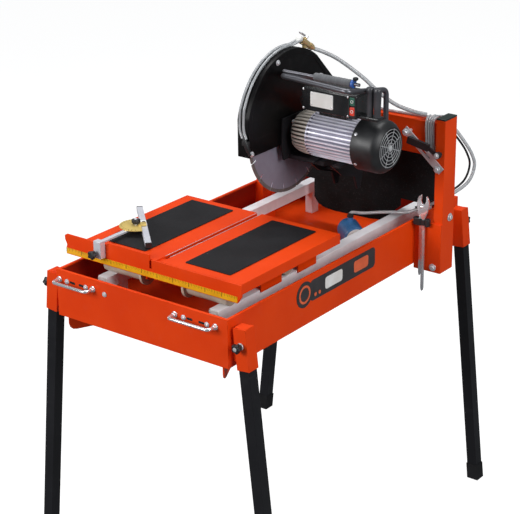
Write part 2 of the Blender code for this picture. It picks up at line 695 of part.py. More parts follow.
def make_fan():
    vanes = []
    for i in range(6):
        angle = math.radians(60 * i)
        outward = Vector((0, math.cos(angle), math.sin(angle)))
        slant = Vector((0.8, -math.sin(angle) * 0.6, math.cos(angle) * 0.6))
        vanes.append(slab(Vector((522, *ARBOR)) + outward * 33, outward, slant, (36, 22, 2.5)))
    hub = turned((508, *ARBOR), (1, 0, 0), ((0, 18), (26, 18)), 24)
    return cut(join(hub, *vanes), turned((500, *ARBOR), (1, 0, 0), ((0, 9.4), (50, 9.4)), 24))


def make_switch_box():
    can = ((0, 7.5), (66, 10), (73, 10), (75, 8))
    capacitors = [turned((x, 577, 348), (0, 0, 1), can, 16) for x in (550, 571.5)]
    return cut(
        join(
            box((357, 555, 340), (523.7, 625, 400)),
            box((385, 590, 320), (470, 622, 342)),
            box((520, 562, 341), (582, 592, 350)),
            *capacitors,
        ),
        box((504.5, 550, 348), (521, 568, 398)),
    )


finish("head_arm", make_arm(), BLACK, (375, *PIVOT), head)
finish("guard", make_guard(), BLACK, (BLADE_X, *ARBOR), head, smooth=True)
finish("motor", make_motor(), ALUMINIUM, (395, *ARBOR), head)
finish("fan_cover", make_fan_cover(), BLACK, (585, *ARBOR), head, smooth=True)
finish("switch_box", make_switch_box(), BLACK, (440, 590, 340), head)
finish("blade", make_blade(), STEEL, (BLADE_X, *ARBOR), spindle)
finish("arbor", make_arbor(), ZINC, (BLADE_X, *ARBOR), spindle, smooth=True)
finish("fan", make_fan(), BLACK, (520, *ARBOR), spindle)
finish("button_start", box((505.2, 551, 374.8), (520.3, 563, 396.8)), GREEN, (512.7, 551, 386), head)
finish("button_stop", box((505.2, 551, 349.2), (520.3, 563, 371.2)), RED, (512.7, 551, 360), head)

handle_route = [(287.5, 736, 371), (309, 736, 371), (309, 533, 425), (531, 505, 425)]
handle_route += [(531, 679, 390), (531, 679, 308)]
finish("handle", sweep(rounded(handle_route, 13, 4), 7, 12), BLACK, (420, 519, 425), head, smooth=True)
foam = [(0, 4.4), (96, 4.4), (96, 9.5), (98, 10.5), (214, 10.5), (216, 9.5), (216, 4.4), (232, 4.4)]
grip = turned((303, 551, 432.2), (1, 0, 0), foam, 20)
finish("grip", grip, FOAM, (460, 551, 432.2), head, smooth=True)

valve_start = Vector(VALVE_CENTRE) - VALVE_DIRECTION * 22
valve_profile = [(0, 6), (6, 6), (6, 9), (14, 9.5), (30, 9.5), (38, 9), (38, 6), (46, 6), (46, 8.5)]
valve_profile += [(62, 8.5), (62, 5.5), (70, 5.5)]
valve = join(
    turned(valve_start, VALVE_DIRECTION, valve_profile, 16),
    turned((268, 690, 458.6), (0, 0, 1), ((0, 5), (10, 5)), 12),
    turned(VALVE_CENTRE, VALVE_STEM, ((0, 4), (12.7, 4)), 12),
)
finish("water_valve", valve, BRASS, VALVE_CENTRE, head, smooth=True)
lever_hub = Vector(VALVE_CENTRE) + VALVE_STEM * 13
lever = join(
    turned(lever_hub, VALVE_STEM, ((0, 6), (5, 6)), 16),
    slab(lever_hub + VALVE_STEM * 3 - VALVE_DIRECTION * 16, VALVE_DIRECTION, VALVE_STEM, (32, 3, 8)),
)
finish("valve_lever", lever, CHROME, lever_hub, head)

hose_start = Vector(VALVE_CENTRE) + VALVE_DIRECTION * 52
hose_route = [hose_start, (288, 758, 432), (323, 775, 413), (379, 800, 370), (420, 812, 335)]
hose_route += [(468, 822, 306), (515, 836, 291), (551, 846, 286)]
finish("water_hose", sweep(curved(hose_route, 3), 4.5, 8), CLEAR, hose_route[-1], smooth=True)
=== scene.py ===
"""The looks of the masonry saw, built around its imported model.

Shapes are given as stations in millimetres: x from the tray's left side, y from its front panel and
z from its rim. spot() turns a station into the frame's metres, from the tray's own box.
"""

import json
import math

import bpy
import bmesh
from mathutils import Matrix, Vector

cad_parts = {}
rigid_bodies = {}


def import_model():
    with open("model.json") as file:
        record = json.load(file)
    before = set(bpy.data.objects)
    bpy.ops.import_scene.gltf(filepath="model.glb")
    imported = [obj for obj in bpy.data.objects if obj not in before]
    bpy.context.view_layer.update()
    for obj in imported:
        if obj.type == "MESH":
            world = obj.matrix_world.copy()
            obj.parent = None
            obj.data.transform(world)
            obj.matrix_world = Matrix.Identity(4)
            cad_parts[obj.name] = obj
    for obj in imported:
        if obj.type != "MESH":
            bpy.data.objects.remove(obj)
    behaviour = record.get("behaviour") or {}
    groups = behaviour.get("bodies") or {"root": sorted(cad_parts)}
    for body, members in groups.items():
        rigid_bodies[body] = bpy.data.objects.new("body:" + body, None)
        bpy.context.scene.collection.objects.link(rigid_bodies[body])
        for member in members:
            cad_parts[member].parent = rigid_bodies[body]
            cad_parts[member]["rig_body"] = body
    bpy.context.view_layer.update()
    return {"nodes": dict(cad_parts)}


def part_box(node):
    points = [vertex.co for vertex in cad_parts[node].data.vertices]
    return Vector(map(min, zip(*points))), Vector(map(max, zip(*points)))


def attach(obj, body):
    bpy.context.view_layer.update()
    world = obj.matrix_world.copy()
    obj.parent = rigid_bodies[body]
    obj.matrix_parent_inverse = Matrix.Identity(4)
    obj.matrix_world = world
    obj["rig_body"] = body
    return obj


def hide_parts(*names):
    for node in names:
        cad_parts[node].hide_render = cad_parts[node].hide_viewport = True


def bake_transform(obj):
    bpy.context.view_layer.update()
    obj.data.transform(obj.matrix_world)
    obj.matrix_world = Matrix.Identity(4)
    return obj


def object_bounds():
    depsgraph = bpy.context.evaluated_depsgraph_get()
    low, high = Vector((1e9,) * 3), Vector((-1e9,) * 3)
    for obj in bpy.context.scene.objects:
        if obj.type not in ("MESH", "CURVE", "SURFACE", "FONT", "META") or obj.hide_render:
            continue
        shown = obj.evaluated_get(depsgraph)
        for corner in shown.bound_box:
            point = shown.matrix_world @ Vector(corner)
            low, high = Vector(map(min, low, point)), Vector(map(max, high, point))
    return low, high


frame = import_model()
TRAY_LOW, TRAY_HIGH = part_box("tray")


def spot(x, y, z):
    return Vector((TRAY_LOW.x + x * 0.001, TRAY_LOW.y + y * 0.001, TRAY_HIGH.z + z * 0.001))


def station(point):
    return Vector((point.x - TRAY_LOW.x, point.y - TRAY_LOW.y, point.z - TRAY_HIGH.z)) * 1000


def node_box(node):
    """A CAD node's lowest and highest corners, as stations."""
    low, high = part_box(node)
    return station(low), station(high)


CORNERS = ("front_left", "front_right", "rear_left", "rear_right")
RIGHT = (1, 0, 0)
FRONT = (0, -1, 0)
UP = (0, 0, 1)
TRAY_WIDTH = 543.0
LEG_Y = {"front": 28.0, "rear": 1003.0}
PIVOT = (812.0, 215.0)
ARBOR = (621.0, 259.0)
BLADE_X = 268.0
BLADE_RADIUS = 175.0
GUARD_X = (250.0, 286.0)
GUARD_CENTRE = (607.0, 287.0)
GUARD_RADIUS = 187.0
MOTOR_RIBS = 34
GRIP_AXIS = (551.0, 432.2)
VALVE_DIRECTION = Vector((0.0, 0.857, -0.515)).normalized()
VALVE_STEM = Vector((0.0, 0.515, 0.857)).normalized()
VALVE_CENTRE = Vector((268.0, 690.0, 472.0))
MITER_PIVOT = (93.0, 200.0)
LEG_TILT = math.atan(0.106)


# Camera, world and lights


def make_camera():
    azimuth, elevation, roll = (math.radians(a) for a in (37.31, 21.93, -0.68))
    level = math.cos(elevation)
    ahead = Vector((-math.sin(azimuth) * level, math.cos(azimuth) * level, -math.sin(elevation)))
    right = Vector((math.cos(azimuth), math.sin(azimuth), 0))
    up = right.cross(ahead)
    camera_right = right * math.cos(roll) + up * math.sin(roll)
    camera_up = up * math.cos(roll) - right * math.sin(roll)
    camera = bpy.data.objects.new("camera", bpy.data.cameras.new("camera"))
    bpy.context.scene.collection.objects.link(camera)
    camera.data.lens = 113.8
    camera.data.sensor_width = 36
    turn = Matrix((camera_right, camera_up, -ahead)).transposed().to_4x4()
    camera.matrix_world = Matrix.Translation((2.4371, -3.2201, 2.3892)) @ turn
    bpy.context.scene.camera = camera


def add_area_light(name, place, target, size, power):
    light = bpy.data.lights.new(name, "AREA")
    light.shape = "RECTANGLE"
    light.size, light.size_y = size
    light.energy = power
    lamp = bpy.data.objects.new(name, light)
    bpy.context.scene.collection.objects.link(lamp)
    lamp.location = place
    lamp.rotation_euler = (Vector(target) - Vector(place)).to_track_quat("-Z", "Y").to_euler()


def make_studio():
    world = bpy.data.worlds.new("studio")
    bpy.context.scene.world = world
    world.use_nodes = True
    tree = world.node_tree
    background = tree.nodes["Background"]
    background.inputs["Color"].default_value = (0.9, 0.95, 1, 1)
    background.inputs["Strength"].default_value = 0.2
    backdrop = tree.nodes.new("ShaderNodeBackground")
    backdrop.inputs["Strength"].default_value = 1.1
    seen = tree.nodes.new("ShaderNodeLightPath")
    share = tree.nodes.new("ShaderNodeMixShader")
    tree.links.new(seen.outputs["Is Camera Ray"], share.inputs["Fac"])
    tree.links.new(background.outputs[0], share.inputs[1])
    tree.links.new(backdrop.outputs[0], share.inputs[2])
    tree.links.new(share.outputs[0], tree.nodes["World Output"].inputs["Surface"])
    centre = (0, 0, 0.9)
    add_area_light("key", (3.2, -0.6, 2.6), centre, (1.6, 1.6), 72)
    add_area_light("front", (-1.2, -3.4, 2.2), centre, (2.0, 1.4), 92)
    add_area_light("top", (-0.4, 0.6, 3.6), centre, (2.4, 1.8), 56)
    add_area_light("left", (-3.6, 0.4, 1.8), centre, (1.0, 1.6), 14)
    bpy.context.scene.view_settings.view_transform = "Standard"


# Materials


def srgb(red, green, blue):
    """A colour given in 0 to 255, as Blender's linear colour."""
    linear = []
    for value in (red, green, blue):
        share = value / 255
        linear.append(share / 12.92 if share <= 0.04045 else ((share + 0.055) / 1.055) ** 2.4)
    return (*linear, 1.0)


def tinted(colour, factor, lift=0.0):
    """The colour made darker or lighter."""
    return (*(min(c * factor + lift, 1) for c in colour[:3]), 1.0)


class Finish:
    """A procedural material. Its textures run in metres, in the frame's own directions."""

    def __init__(self, name, roughness, metallic=0.0, **sockets):
        self.material = bpy.data.materials.new(name)
        self.material.use_nodes = True
        self.tree = self.material.node_tree
        self.shader = self.tree.nodes["Principled BSDF"]
        self.shader.inputs["Roughness"].default_value = roughness
        self.shader.inputs["Metallic"].default_value = metallic
        for socket, value in sockets.items():
            self.shader.inputs[socket.replace("_", " ")].default_value = value
        self.place = self.add("ShaderNodeTexCoord").outputs["Object"]

    def add(self, kind, **settings):
        node = self.tree.nodes.new(kind)
        for name, value in settings.items():
            setattr(node, name, value)
        return node

    def feed(self, socket, value):
        if isinstance(value, bpy.types.NodeSocket):
            self.tree.links.new(value, socket)
        else:
            socket.default_value = value

    def math(self, operation, first, second=0.0):
        node = self.add("ShaderNodeMath", operation=operation)
        self.feed(node.inputs[0], first)
        self.feed(node.inputs[1], second)
        return node.outputs[0]

    def stretched(self, scale, centre=(0, 0, 0)):
        node = self.add("ShaderNodeVectorMath", operation="SUBTRACT")
        self.feed(node.inputs[0], self.place)
        node.inputs[1].default_value = centre
        wide = self.add("ShaderNodeVectorMath", operation="MULTIPLY")
        self.feed(wide.inputs[0], node.outputs[0])
        wide.inputs[1].default_value = scale
        return wide.outputs[0]

    def noise(self, scale, detail=3.0, place=None):
        node = self.add("ShaderNodeTexNoise")
        self.feed(node.inputs["Vector"], place or self.place)
        node.inputs["Scale"].default_value = scale
        node.inputs["Detail"].default_value = detail
        return node.outputs["Fac"]

    def cells(self, scale):
        """Distance to the nearest cell's middle."""
        node = self.add("ShaderNodeTexVoronoi")
        self.feed(node.inputs["Vector"], self.place)
        node.inputs["Scale"].default_value = scale
        return node.outputs["Distance"]

    def steps(self, value, low, high, to_low=0.0, to_high=1.0):
        node = self.add("ShaderNodeMapRange", clamp=True)
        self.feed(node.inputs["Value"], value)
        limits = {"From Min": low, "From Max": high, "To Min": to_low, "To Max": to_high}
        for name, limit in limits.items():
            node.inputs[name].default_value = limit
        return node.outputs["Result"]

    def mix(self, share, first, second):
        """Colours sit in sockets 6 and 7, because the node's inputs share the names A and B."""
        node = self.add("ShaderNodeMix", data_type="RGBA")
        self.feed(node.inputs["Factor"], share)
        self.feed(node.inputs[6], first)
        self.feed(node.inputs[7], second)
        return node.outputs[2]

    def axis(self, index, place=None):
        node = self.add("ShaderNodeSeparateXYZ")
        self.feed(node.inputs[0], place or self.place)
        return node.outputs[index]

    def colour(self, value):
        self.feed(self.shader.inputs["Base Color"], value)
        return self

    def roughness(self, value):
        self.feed(self.shader.inputs["Roughness"], value)
        return self

    def bump(self, height, depth, strength=1.0, edge=0.0):
        """Height is from 0 to 1 and depth in metres. Edge rounds the corners that light catches."""
        node = self.add("ShaderNodeBump")
        self.feed(node.inputs["Height"], height)
        node.inputs["Distance"].default_value = depth
        node.inputs["Strength"].default_value = strength
        if edge:
            bevel = self.add("ShaderNodeBevel", samples=4)
            bevel.inputs["Radius"].default_value = edge
            self.feed(node.inputs["Normal"], bevel.outputs[0])
        self.feed(self.shader.inputs["Normal"], node.outputs[0])
        return self


def tray_inner_shade(finish):
    """1 on the tray's inner faces, where a darker colour is laid on as painted shade."""
    low = spot(1.2, 1.2, -119)
    high = Vector((TRAY_HIGH.x - 0.0012, TRAY_HIGH.y - 0.0012, TRAY_HIGH.z - 0.004))
    share = 1.0
    for axis in range(3):
        place = finish.axis(axis)
        above = finish.math("GREATER_THAN", place, low[axis])
        below = finish.math("LESS_THAN", place, high[axis])
        share = finish.math("MULTIPLY", finish.math("MULTIPLY", above, below), share)
    return share


def powder_coat(name, main, dark, roughness, coat, edge=0.0012, inner_shade=None):
    """Baked powder paint: orange-peel bump, faint patches, dust and fine scratches; a shade colour, where
    given, is painted shade on the tray's inner faces.
    """
    finish = Finish(name, roughness, Coat_Weight=coat, Coat_Roughness=0.12, Specular_IOR_Level=0.14)
    patches = finish.noise(5.0, 4.0)
    dust = finish.steps(finish.noise(38.0, 6.0), 0.56, 0.72)
    scratch = finish.steps(finish.noise(90.0, 3.0, finish.stretched((1, 0.05, 1))), 0.66, 0.70)
    base = finish.mix(finish.steps(patches, 0.3, 0.7), main, dark)
    pale = tinted(main, 0.8, 0.06)
    dusty = finish.mix(finish.math("MULTIPLY", dust, 0.07), base, pale)
    worn = finish.mix(finish.math("MULTIPLY", scratch, 0.06), dusty, pale)
    # Painted shade: the tray's inner faces take the darker shade colour.
    if inner_shade:
        worn = finish.mix(tray_inner_shade(finish), worn, inner_shade)
    finish.colour(worn)
    finish.roughness(finish.steps(finish.noise(14.0, 5.0), 0.2, 0.8, roughness - 0.07, roughness + 0.1))
    peel = finish.noise(420.0, 2.0)
    return finish.bump(peel, 0.00018, 0.35, edge).material


def bright_metal(name, tint, roughness, metallic=0.75, edge=0.0006):
    """Plated or polished metal with a fine grain and faint handling marks."""
    finish = Finish(name, roughness, metallic)
    grain = finish.noise(700.0, 2.0)
    smears = finish.noise(22.0, 4.0)
    darker = tinted(tint, 0.72)
    finish.colour(finish.mix(finish.steps(smears, 0.35, 0.75, 0.0, 0.6), tint, darker))
    finish.roughness(finish.steps(smears, 0.2, 0.8, max(roughness - 0.05, 0.04), roughness + 0.1))
    return finish.bump(grain, 0.00005, 0.35, edge).material


def moulded(name, tint, roughness, texture=900.0, edge=0.0008, coat=0.0):
    """Moulded plastic with spark-eroded texture, faint flow marks and rubbed highlights."""
    finish = Finish(name, roughness, Coat_Weight=coat)
    marks = finish.noise(30.0, 4.0)
    lighter = tinted(tint, 1.5, 0.012)
    finish.colour(finish.mix(finish.steps(marks, 0.4, 0.8, 0.0, 0.7), tint, lighter))
    finish.roughness(finish.steps(marks, 0.2, 0.8, roughness - 0.06, roughness + 0.1))
    return finish.bump(finish.noise(texture, 2.0), 0.00012, 0.4, edge).material


def rubber_sheet(name, tint, pimple=520.0, depth=0.0003):
    """Black rubber with a pebbled face and a bloom of grey dust."""
    finish = Finish(name, 0.72, Specular_IOR_Level=0.14)
    pebbles = finish.cells(pimple)
    bloom = finish.steps(finish.noise(9.0, 6.0), 0.42, 0.72)
    speck = finish.steps(finish.noise(260.0, 2.0), 0.60, 0.72)
    dusty = finish.mix(finish.math("MULTIPLY", bloom, 0.12), tint, srgb(82, 82, 86))
    finish.colour(finish.mix(finish.math("MULTIPLY", speck, 0.12), dusty, srgb(96, 96, 100)))
    finish.roughness(finish.steps(bloom, 0, 1, 0.62, 0.85))
    return finish.bump(pebbles, depth, 0.6, 0.0006).material


def clear_tube(name, rib=0.0):
    """Clear PVC with extrusion lines, or with ribs where it is a reinforced hose."""
    finish = Finish(name, 0.16, Transmission_Weight=0.45, IOR=1.42, Coat_Weight=0.3)
    streak = finish.noise(60.0, 4.0)
    finish.colour(finish.mix(streak, srgb(222, 224, 226), srgb(176, 180, 184)))
    finish.roughness(finish.steps(streak, 0.3, 0.7, 0.10, 0.26))
    if rib:
        wave = finish.math("SINE", finish.math("MULTIPLY", finish.axis(0), rib))
        return finish.bump(finish.steps(wave, -1, 1), 0.0006, 0.6).material
    lines = finish.noise(250.0, 2.0)
    return finish.bump(finish.steps(lines, -1, 1), 0.0001, 0.6).material


def blade_steel(name, tint, bright):
    """Rolled saw steel with turning marks round the arbor and a cutting haze towards the rim."""
    finish = Finish(name, 0.34, 0.35)
    centre = spot(BLADE_X, *ARBOR)
    around = finish.stretched((0, 1, 1), centre)
    length = finish.add("ShaderNodeVectorMath", operation="LENGTH")
    finish.feed(length.inputs[0], around)
    radius = length.outputs["Value"]
    ring = finish.add("ShaderNodeCombineXYZ")
    finish.feed(ring.inputs[0], radius)
    marks = finish.noise(900.0, 3.0, ring.outputs[0])
    haze = finish.steps(radius, 0.06, 0.17)
    stain = finish.noise(34.0, 5.0)
    base = finish.mix(finish.math("MULTIPLY", stain, marks), tint, bright)
    finish.colour(finish.mix(finish.math("MULTIPLY", haze, 0.35), base, srgb(150, 140, 150)))
    finish.roughness(finish.steps(marks, 0.3, 0.7, 0.26, 0.46))
    return finish.bump(marks, 0.00006, 0.6).material


def diamond_rim(name):
    """Sintered segments: a gritty bronze-grey matrix."""
    finish = Finish(name, 0.62, 0.55)
    grit = finish.cells(1400.0)
    finish.colour(finish.mix(finish.noise(300.0, 3.0), srgb(150, 140, 134), srgb(96, 88, 92)))
    return finish.bump(grit, 0.0003, 0.8).material


def cast_skin(finish, light, dark, roughness, edge=0.0):
    """Sets the roughness and grain of a casting, and gives back its cloudy colour."""
    cloudy = finish.noise(28.0, 5.0)
    finish.roughness(finish.steps(cloudy, 0.2, 0.8, roughness - 0.08, roughness + 0.12))
    finish.bump(finish.noise(620.0, 3.0), 0.00014, 0.5, edge)
    return finish.mix(finish.steps(cloudy, 0.3, 0.7), light, dark)


def cast_aluminium(name, light, dark, roughness=0.42):
    """Sand-cast or extruded aluminium."""
    finish = Finish(name, roughness, 0.45)
    return finish.colour(cast_skin(finish, light, dark, roughness, 0.0006)).material


def ribbed_aluminium(name, crest, valley_shade, roughness):
    """Cast ribs round the arbor's axis: the crests keep the metal's colour, and the valleys between them
    are darkened as painted shade.
    """
    valley_middle = 0.71
    finish = Finish(name, roughness, 0.35)
    around = finish.stretched((1, 1, 1), spot(BLADE_X, *ARBOR))
    angle = finish.math("ARCTAN2", finish.axis(2, around), finish.axis(1, around))
    turn = finish.math("MULTIPLY", angle, MOTOR_RIBS / (2 * math.pi))
    part = finish.math("FRACT", turn)
    off_middle = finish.math("ABSOLUTE", finish.math("SUBTRACT", part, valley_middle))
    # Painted shade: 1 across the middle of each valley, where the colour turns to the shade colour.
    low = finish.steps(off_middle, 0.17, 0.30, 1, 0)
    skin = cast_skin(finish, crest, tinted(crest, 0.82), roughness)
    return finish.colour(finish.mix(low, skin, valley_shade)).material


def foam_grip(name):
    """Closed-cell foam: soft open pores on a grey skin."""
    finish = Finish(name, 0.9, Sheen_Weight=0.25, Sheen_Roughness=0.5)
    pores = finish.cells(850.0)
    finish.colour(finish.mix(finish.noise(70.0, 4.0), srgb(74, 76, 80), srgb(112, 114, 118)))
    return finish.bump(pores, 0.0006, 0.8).material


def ruler_tape(name):
    """A yellow scale with black marks every 5, 10 and 50 mm along its upper edge."""
    finish = Finish(name, 0.34, Coat_Weight=0.4)
    low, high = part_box("ruler")
    across = finish.axis(0, finish.stretched((1, 1, 1), low))
    height = finish.axis(2, finish.stretched((1, 1, 1), low))
    share = finish.math("DIVIDE", height, high.z - low.z)
    lines = 0.0
    for pitch, width, reach in ((0.005, 0.0008, 0.72), (0.01, 0.001, 0.55), (0.05, 0.002, 0.3)):
        within = finish.math("LESS_THAN", finish.math("MODULO", across, pitch), width)
        tall = finish.math("GREATER_THAN", share, reach)
        lines = finish.math("MAXIMUM", lines, finish.math("MULTIPLY", within, tall))
    rubbed = finish.steps(finish.noise(40.0, 5.0), 0.35, 0.75)
    worn = finish.mix(rubbed, srgb(246, 186, 28), srgb(226, 160, 20))
    finish.colour(finish.mix(finish.math("MULTIPLY", lines, 0.85), worn, srgb(28, 26, 22)))
    return finish.bump(lines, 0.00005, 0.3).material


ORANGE_COAT = (srgb(238, 72, 12), srgb(224, 61, 9), 0.44, 0.02)
ORANGE = powder_coat("orange_paint", *ORANGE_COAT)
# The tray's paint is darkened on its inner faces as painted shade.
TRAY_ORANGE = powder_coat("tray_paint", *ORANGE_COAT, inner_shade=srgb(150, 30, 8))
BLACK = powder_coat("black_paint", srgb(34, 34, 37), srgb(25, 25, 28), 0.42, 0.1)
GUARD_BLACK = powder_coat("guard_paint", srgb(11, 10, 11), srgb(7, 6, 7), 0.34, 0.08, 0.0)
CHROME = bright_metal("chrome", srgb(232, 233, 236), 0.12)
STEEL = bright_metal("bright_steel", srgb(222, 223, 227), 0.28, 0.45)
# Zinc-plated rails, made near-white and not metallic: the zinc's own grey is raised as painted reflection
# of the lamps.
RAIL_ZINC_SHEEN = bright_metal("rail_zinc_sheen", srgb(250, 248, 252), 0.34, 0.0)
BRASS = bright_metal("brass", srgb(222, 198, 146), 0.28, 0.6)
GOLD = bright_metal("gold_plate", srgb(236, 206, 120), 0.3, 0.3)
ALUMINIUM = cast_aluminium("aluminium", srgb(232, 233, 240), srgb(204, 206, 216))
# The last colour of each ribbed metal is the painted shade in its rib valleys.
MOTOR_SILVER = ribbed_aluminium("motor_silver", srgb(238, 237, 250), srgb(134, 132, 150), 0.42)
SHIELD = ribbed_aluminium("end_shield", srgb(226, 218, 208), srgb(70, 60, 54), 0.34)
PLASTIC = moulded("black_plastic", srgb(26, 27, 29), 0.42)
GLOSSY_PLASTIC = moulded("gloss_black", srgb(18, 18, 20), 0.22, 1400.0, coat=0.4)
CAP_PLASTIC = moulded("cap_plastic", srgb(24, 38, 34), 0.4)
WHITE_PLASTIC = moulded("white_plastic", srgb(228, 228, 224), 0.4)
GREY_PLASTIC = moulded("grey_plastic", srgb(176, 178, 180), 0.38)
CAN_GREY = moulded("capacitor_grey", srgb(58, 58, 62), 0.3)
GREEN = moulded("green_plastic", srgb(44, 96, 80), 0.34)
RED = moulded("red_plastic", srgb(206, 58, 40), 0.34)
BLUE = moulded("blue_plastic", srgb(52, 106, 158), 0.36, coat=0.2)
BLUE_BAND = moulded("blue_band", srgb(48, 92, 168), 0.4)
PAD_RUBBER = rubber_sheet("pad_rubber", srgb(30, 29, 31))
# Black rubber, made far darker than the other rubber as painted shade behind the beam, between the columns.
CURTAIN_SHADED_RUBBER = rubber_sheet("curtain_rubber_shaded", srgb(7, 6, 6), 180.0, 0.0001)
FOOT_RUBBER = rubber_sheet("foot_rubber", srgb(30, 30, 31))
CLEAR = clear_tube("clear_hose")
RIBBED = clear_tube("ribbed_hose", 1900.0)
BLADE_CORE = blade_steel("blade_steel", srgb(138, 134, 152), srgb(186, 182, 198))
HANDLE_BLACK = bright_metal("handle_black", srgb(112, 112, 118), 0.3)
BLADE_RIM = diamond_rim("blade_rim")
FOAM = foam_grip("foam")
TAPE = ruler_tape("yellow_tape")
LABEL = moulded("label_grey", srgb(44, 40, 42), 0.36, 1500.0, 0.0, 0.3)
LABEL_WHITE = moulded("label_white", srgb(232, 228, 224), 0.36, 1500.0, 0.0, 0.3)
LABEL_ORANGE = moulded("label_orange", srgb(224, 96, 52), 0.36, 1500.0, 0.0, 0.3)


# Shapes: each is (points, faces), and one piece may hold several


def loft(rings, closed=False):
    """A solid through rings of stations. A closed loft joins its last ring to its first."""
    points = [spot(*point) for ring in rings for point in ring]
    count = len(rings[0])
    faces = []
    for row in range(len(rings) if closed else len(rings) - 1):
        here = row * count
        there = (row + 1) % len(rings) * count
        for i in range(count):
            j = (i + 1) % count
            faces.append((here + i, here + j, there + j, there + i))
    if not closed:
        faces.append(tuple(reversed(range(count))))
        faces.append(tuple(range((len(rings) - 1) * count, len(rings) * count)))
    return points, faces


def prism(axis, outline, low, high):
    order = {"x": (2, 0, 1), "y": (0, 2, 1), "z": (0, 1, 2)}[axis]
    return loft([[tuple((u, v, w)[i] for i in order) for u, v in outline] for w in (low, high)])


def block(low, high):
    corners = [(low[0], low[1]), (high[0], low[1]), (high[0], high[1]), (low[0], high[1])]
    return prism("z", corners, low[2], high[2])


def frame_of(direction):
    along = Vector(direction).normalized()
    helper = Vector(UP) if abs(along.z) < 0.9 else Vector(RIGHT)
    side = helper.cross(along).normalized()
    return along, side, along.cross(side)


def turned(centre, direction, profile, sides=48, closed=False, lobes=0):
    """A turned solid. Each profile entry is (distance along, radius[, lobe height])."""
    along, side, up = frame_of(direction)
    rings = []
    for entry in profile:
        lobe = entry[2] if len(entry) > 2 else 0.0
        ring = []
        for i in range(sides):
            angle = 2 * math.pi * i / sides
            outward = side * math.cos(angle) + up * math.sin(angle)
            radius = entry[1] + lobe * math.cos(lobes * angle)
            ring.append(Vector(centre) + along * entry[0] + outward * radius)
        rings.append(ring)
    return loft(rings, closed)


def sweep(points, radius, sides=16):
    """A round bar along a path."""
    points = [Vector(point) for point in points]
    along, side, up = frame_of(points[1] - points[0])
    rings = []
    for i, point in enumerate(points):
        before = points[max(i - 1, 0)]
        after = points[min(i + 1, len(points) - 1)]
        turn = along.rotation_difference((after - before).normalized())
        along, side, up = turn @ along, turn @ side, turn @ up
        ring = []
        for k in range(sides):
            angle = 2 * math.pi * k / sides
            ring.append(point + (side * math.cos(angle) + up * math.sin(angle)) * radius)
        rings.append(ring)
    return loft(rings)


def rounded(points, radius, steps=6):
    """The polyline with each inner corner replaced by a short arc."""
    points = [Vector(point) for point in points]
    path = [points[0]]
    for before, corner, after in zip(points, points[1:], points[2:]):
        start = corner + (before - corner).normalized() * radius
        end = corner + (after - corner).normalized() * radius
        for k in range(steps + 1):
            t = k / steps
            path.append(start * (1 - t) ** 2 + corner * 2 * t * (1 - t) + end * t**2)
    path.append(points[-1])
    return path


def curved(points, steps=8):
    """A smooth path through the points."""
    points = [Vector(point) for point in points]
    padded = [points[0] * 2 - points[1]] + points + [points[-1] * 2 - points[-2]]
    path = []
    for a, b, c, d in zip(padded, padded[1:], padded[2:], padded[3:]):
        for k in range(steps):
            t = k / steps
            linear = (c - a) * t
            square = (a * 2 - b * 5 + c * 4 - d) * t**2
            cube = (b * 3 - a - c * 3 + d) * t**3
            path.append((b * 2 + linear + square + cube) * 0.5)
    path.append(points[-1])
    return path


def slab(centre, length_axis, width_axis, size):
    """A block set at an angle: size is (length, width, thickness)."""
    x_axis = Vector(length_axis).normalized()
    z_axis = x_axis.cross(Vector(width_axis)).normalized()
    y_axis = z_axis.cross(x_axis)
    rings = []
    for w in (-0.5, 0.5):
        ring = []
        for u, v in ((-0.5, -0.5), (0.5, -0.5), (0.5, 0.5), (-0.5, 0.5)):
            offset = x_axis * size[0] * u + y_axis * size[1] * v + z_axis * size[2] * w
            ring.append(Vector(centre) + offset)
        rings.append(ring)
    return loft(rings)


def arc(centre, radius, start, end, steps):
    points = []
    for i in range(steps + 1):
        angle = math.radians(start + (end - start) * i / steps)
        points.append((centre[0] + radius * math.cos(angle), centre[1] + radius * math.sin(angle)))
    return points


def round_rect(low, high, radius, steps=5):
    """The outline of a rectangle with round corners."""
    points = []
    for x, y, start in (
        (high[0] - radius, high[1] - radius, 0),
        (low[0] + radius, high[1] - radius, 90),
        (low[0] + radius, low[1] + radius, 180),
        (high[0] - radius, low[1] + radius, 270),
    ):
        points += arc((x, y), radius, start, start + 90, steps)
    return points


def piece(name, shapes, material, body, stands_for=(), bevel=0.0, segments=2):
    """One visible piece from one or more shapes, riding on a body of the frame."""
    bm = bmesh.new()
    for points, faces in shapes:
        verts = [bm.verts.new(point) for point in points]
        for face in faces:
            bm.faces.new([verts[i] for i in face])
    bmesh.ops.recalc_face_normals(bm, faces=bm.faces)
    mesh = bpy.data.meshes.new(name)
    bm.to_mesh(mesh)
    bm.free()
    mesh.materials.append(material)
    thing = bpy.data.objects.new(name, mesh)
    bpy.context.scene.collection.objects.link(thing)
    if bevel:
        modifier = thing.modifiers.new("bevel", "BEVEL")
        modifier.width = bevel * 0.001
        modifier.segments = segments
        modifier.limit_method = "ANGLE"
        modifier.angle_limit = math.radians(40)
    mesh.shade_smooth()
    mesh.set_sharp_from_angle(angle=math.radians(38))
    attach(thing, body)
    if stands_for:
        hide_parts(*stands_for)
    return thing


def hex_bolt(centre, direction, across=13.0, height=5.0):
    """A washer, and a hexagon head with a chamfered top."""
    hexagon = across / math.sqrt(3)
    rim = across * 0.86
    disc = ((0, across * 0.78), (0.4, rim), (1.5, rim), (1.9, across * 0.8))
    sides = ((1.9, hexagon), (1.9 + height - 1, hexagon), (1.9 + height, hexagon * 0.84))
    return [turned(centre, direction, disc, 32), turned(centre, direction, sides, 6)]


def paint_node(node, material):
    """Gives a CAD node a material and keeps its shape."""
    for slot in frame["nodes"][node].material_slots:
        slot.material = material


make_camera()
make_studio()


# CAD nodes that are shown with their own shape

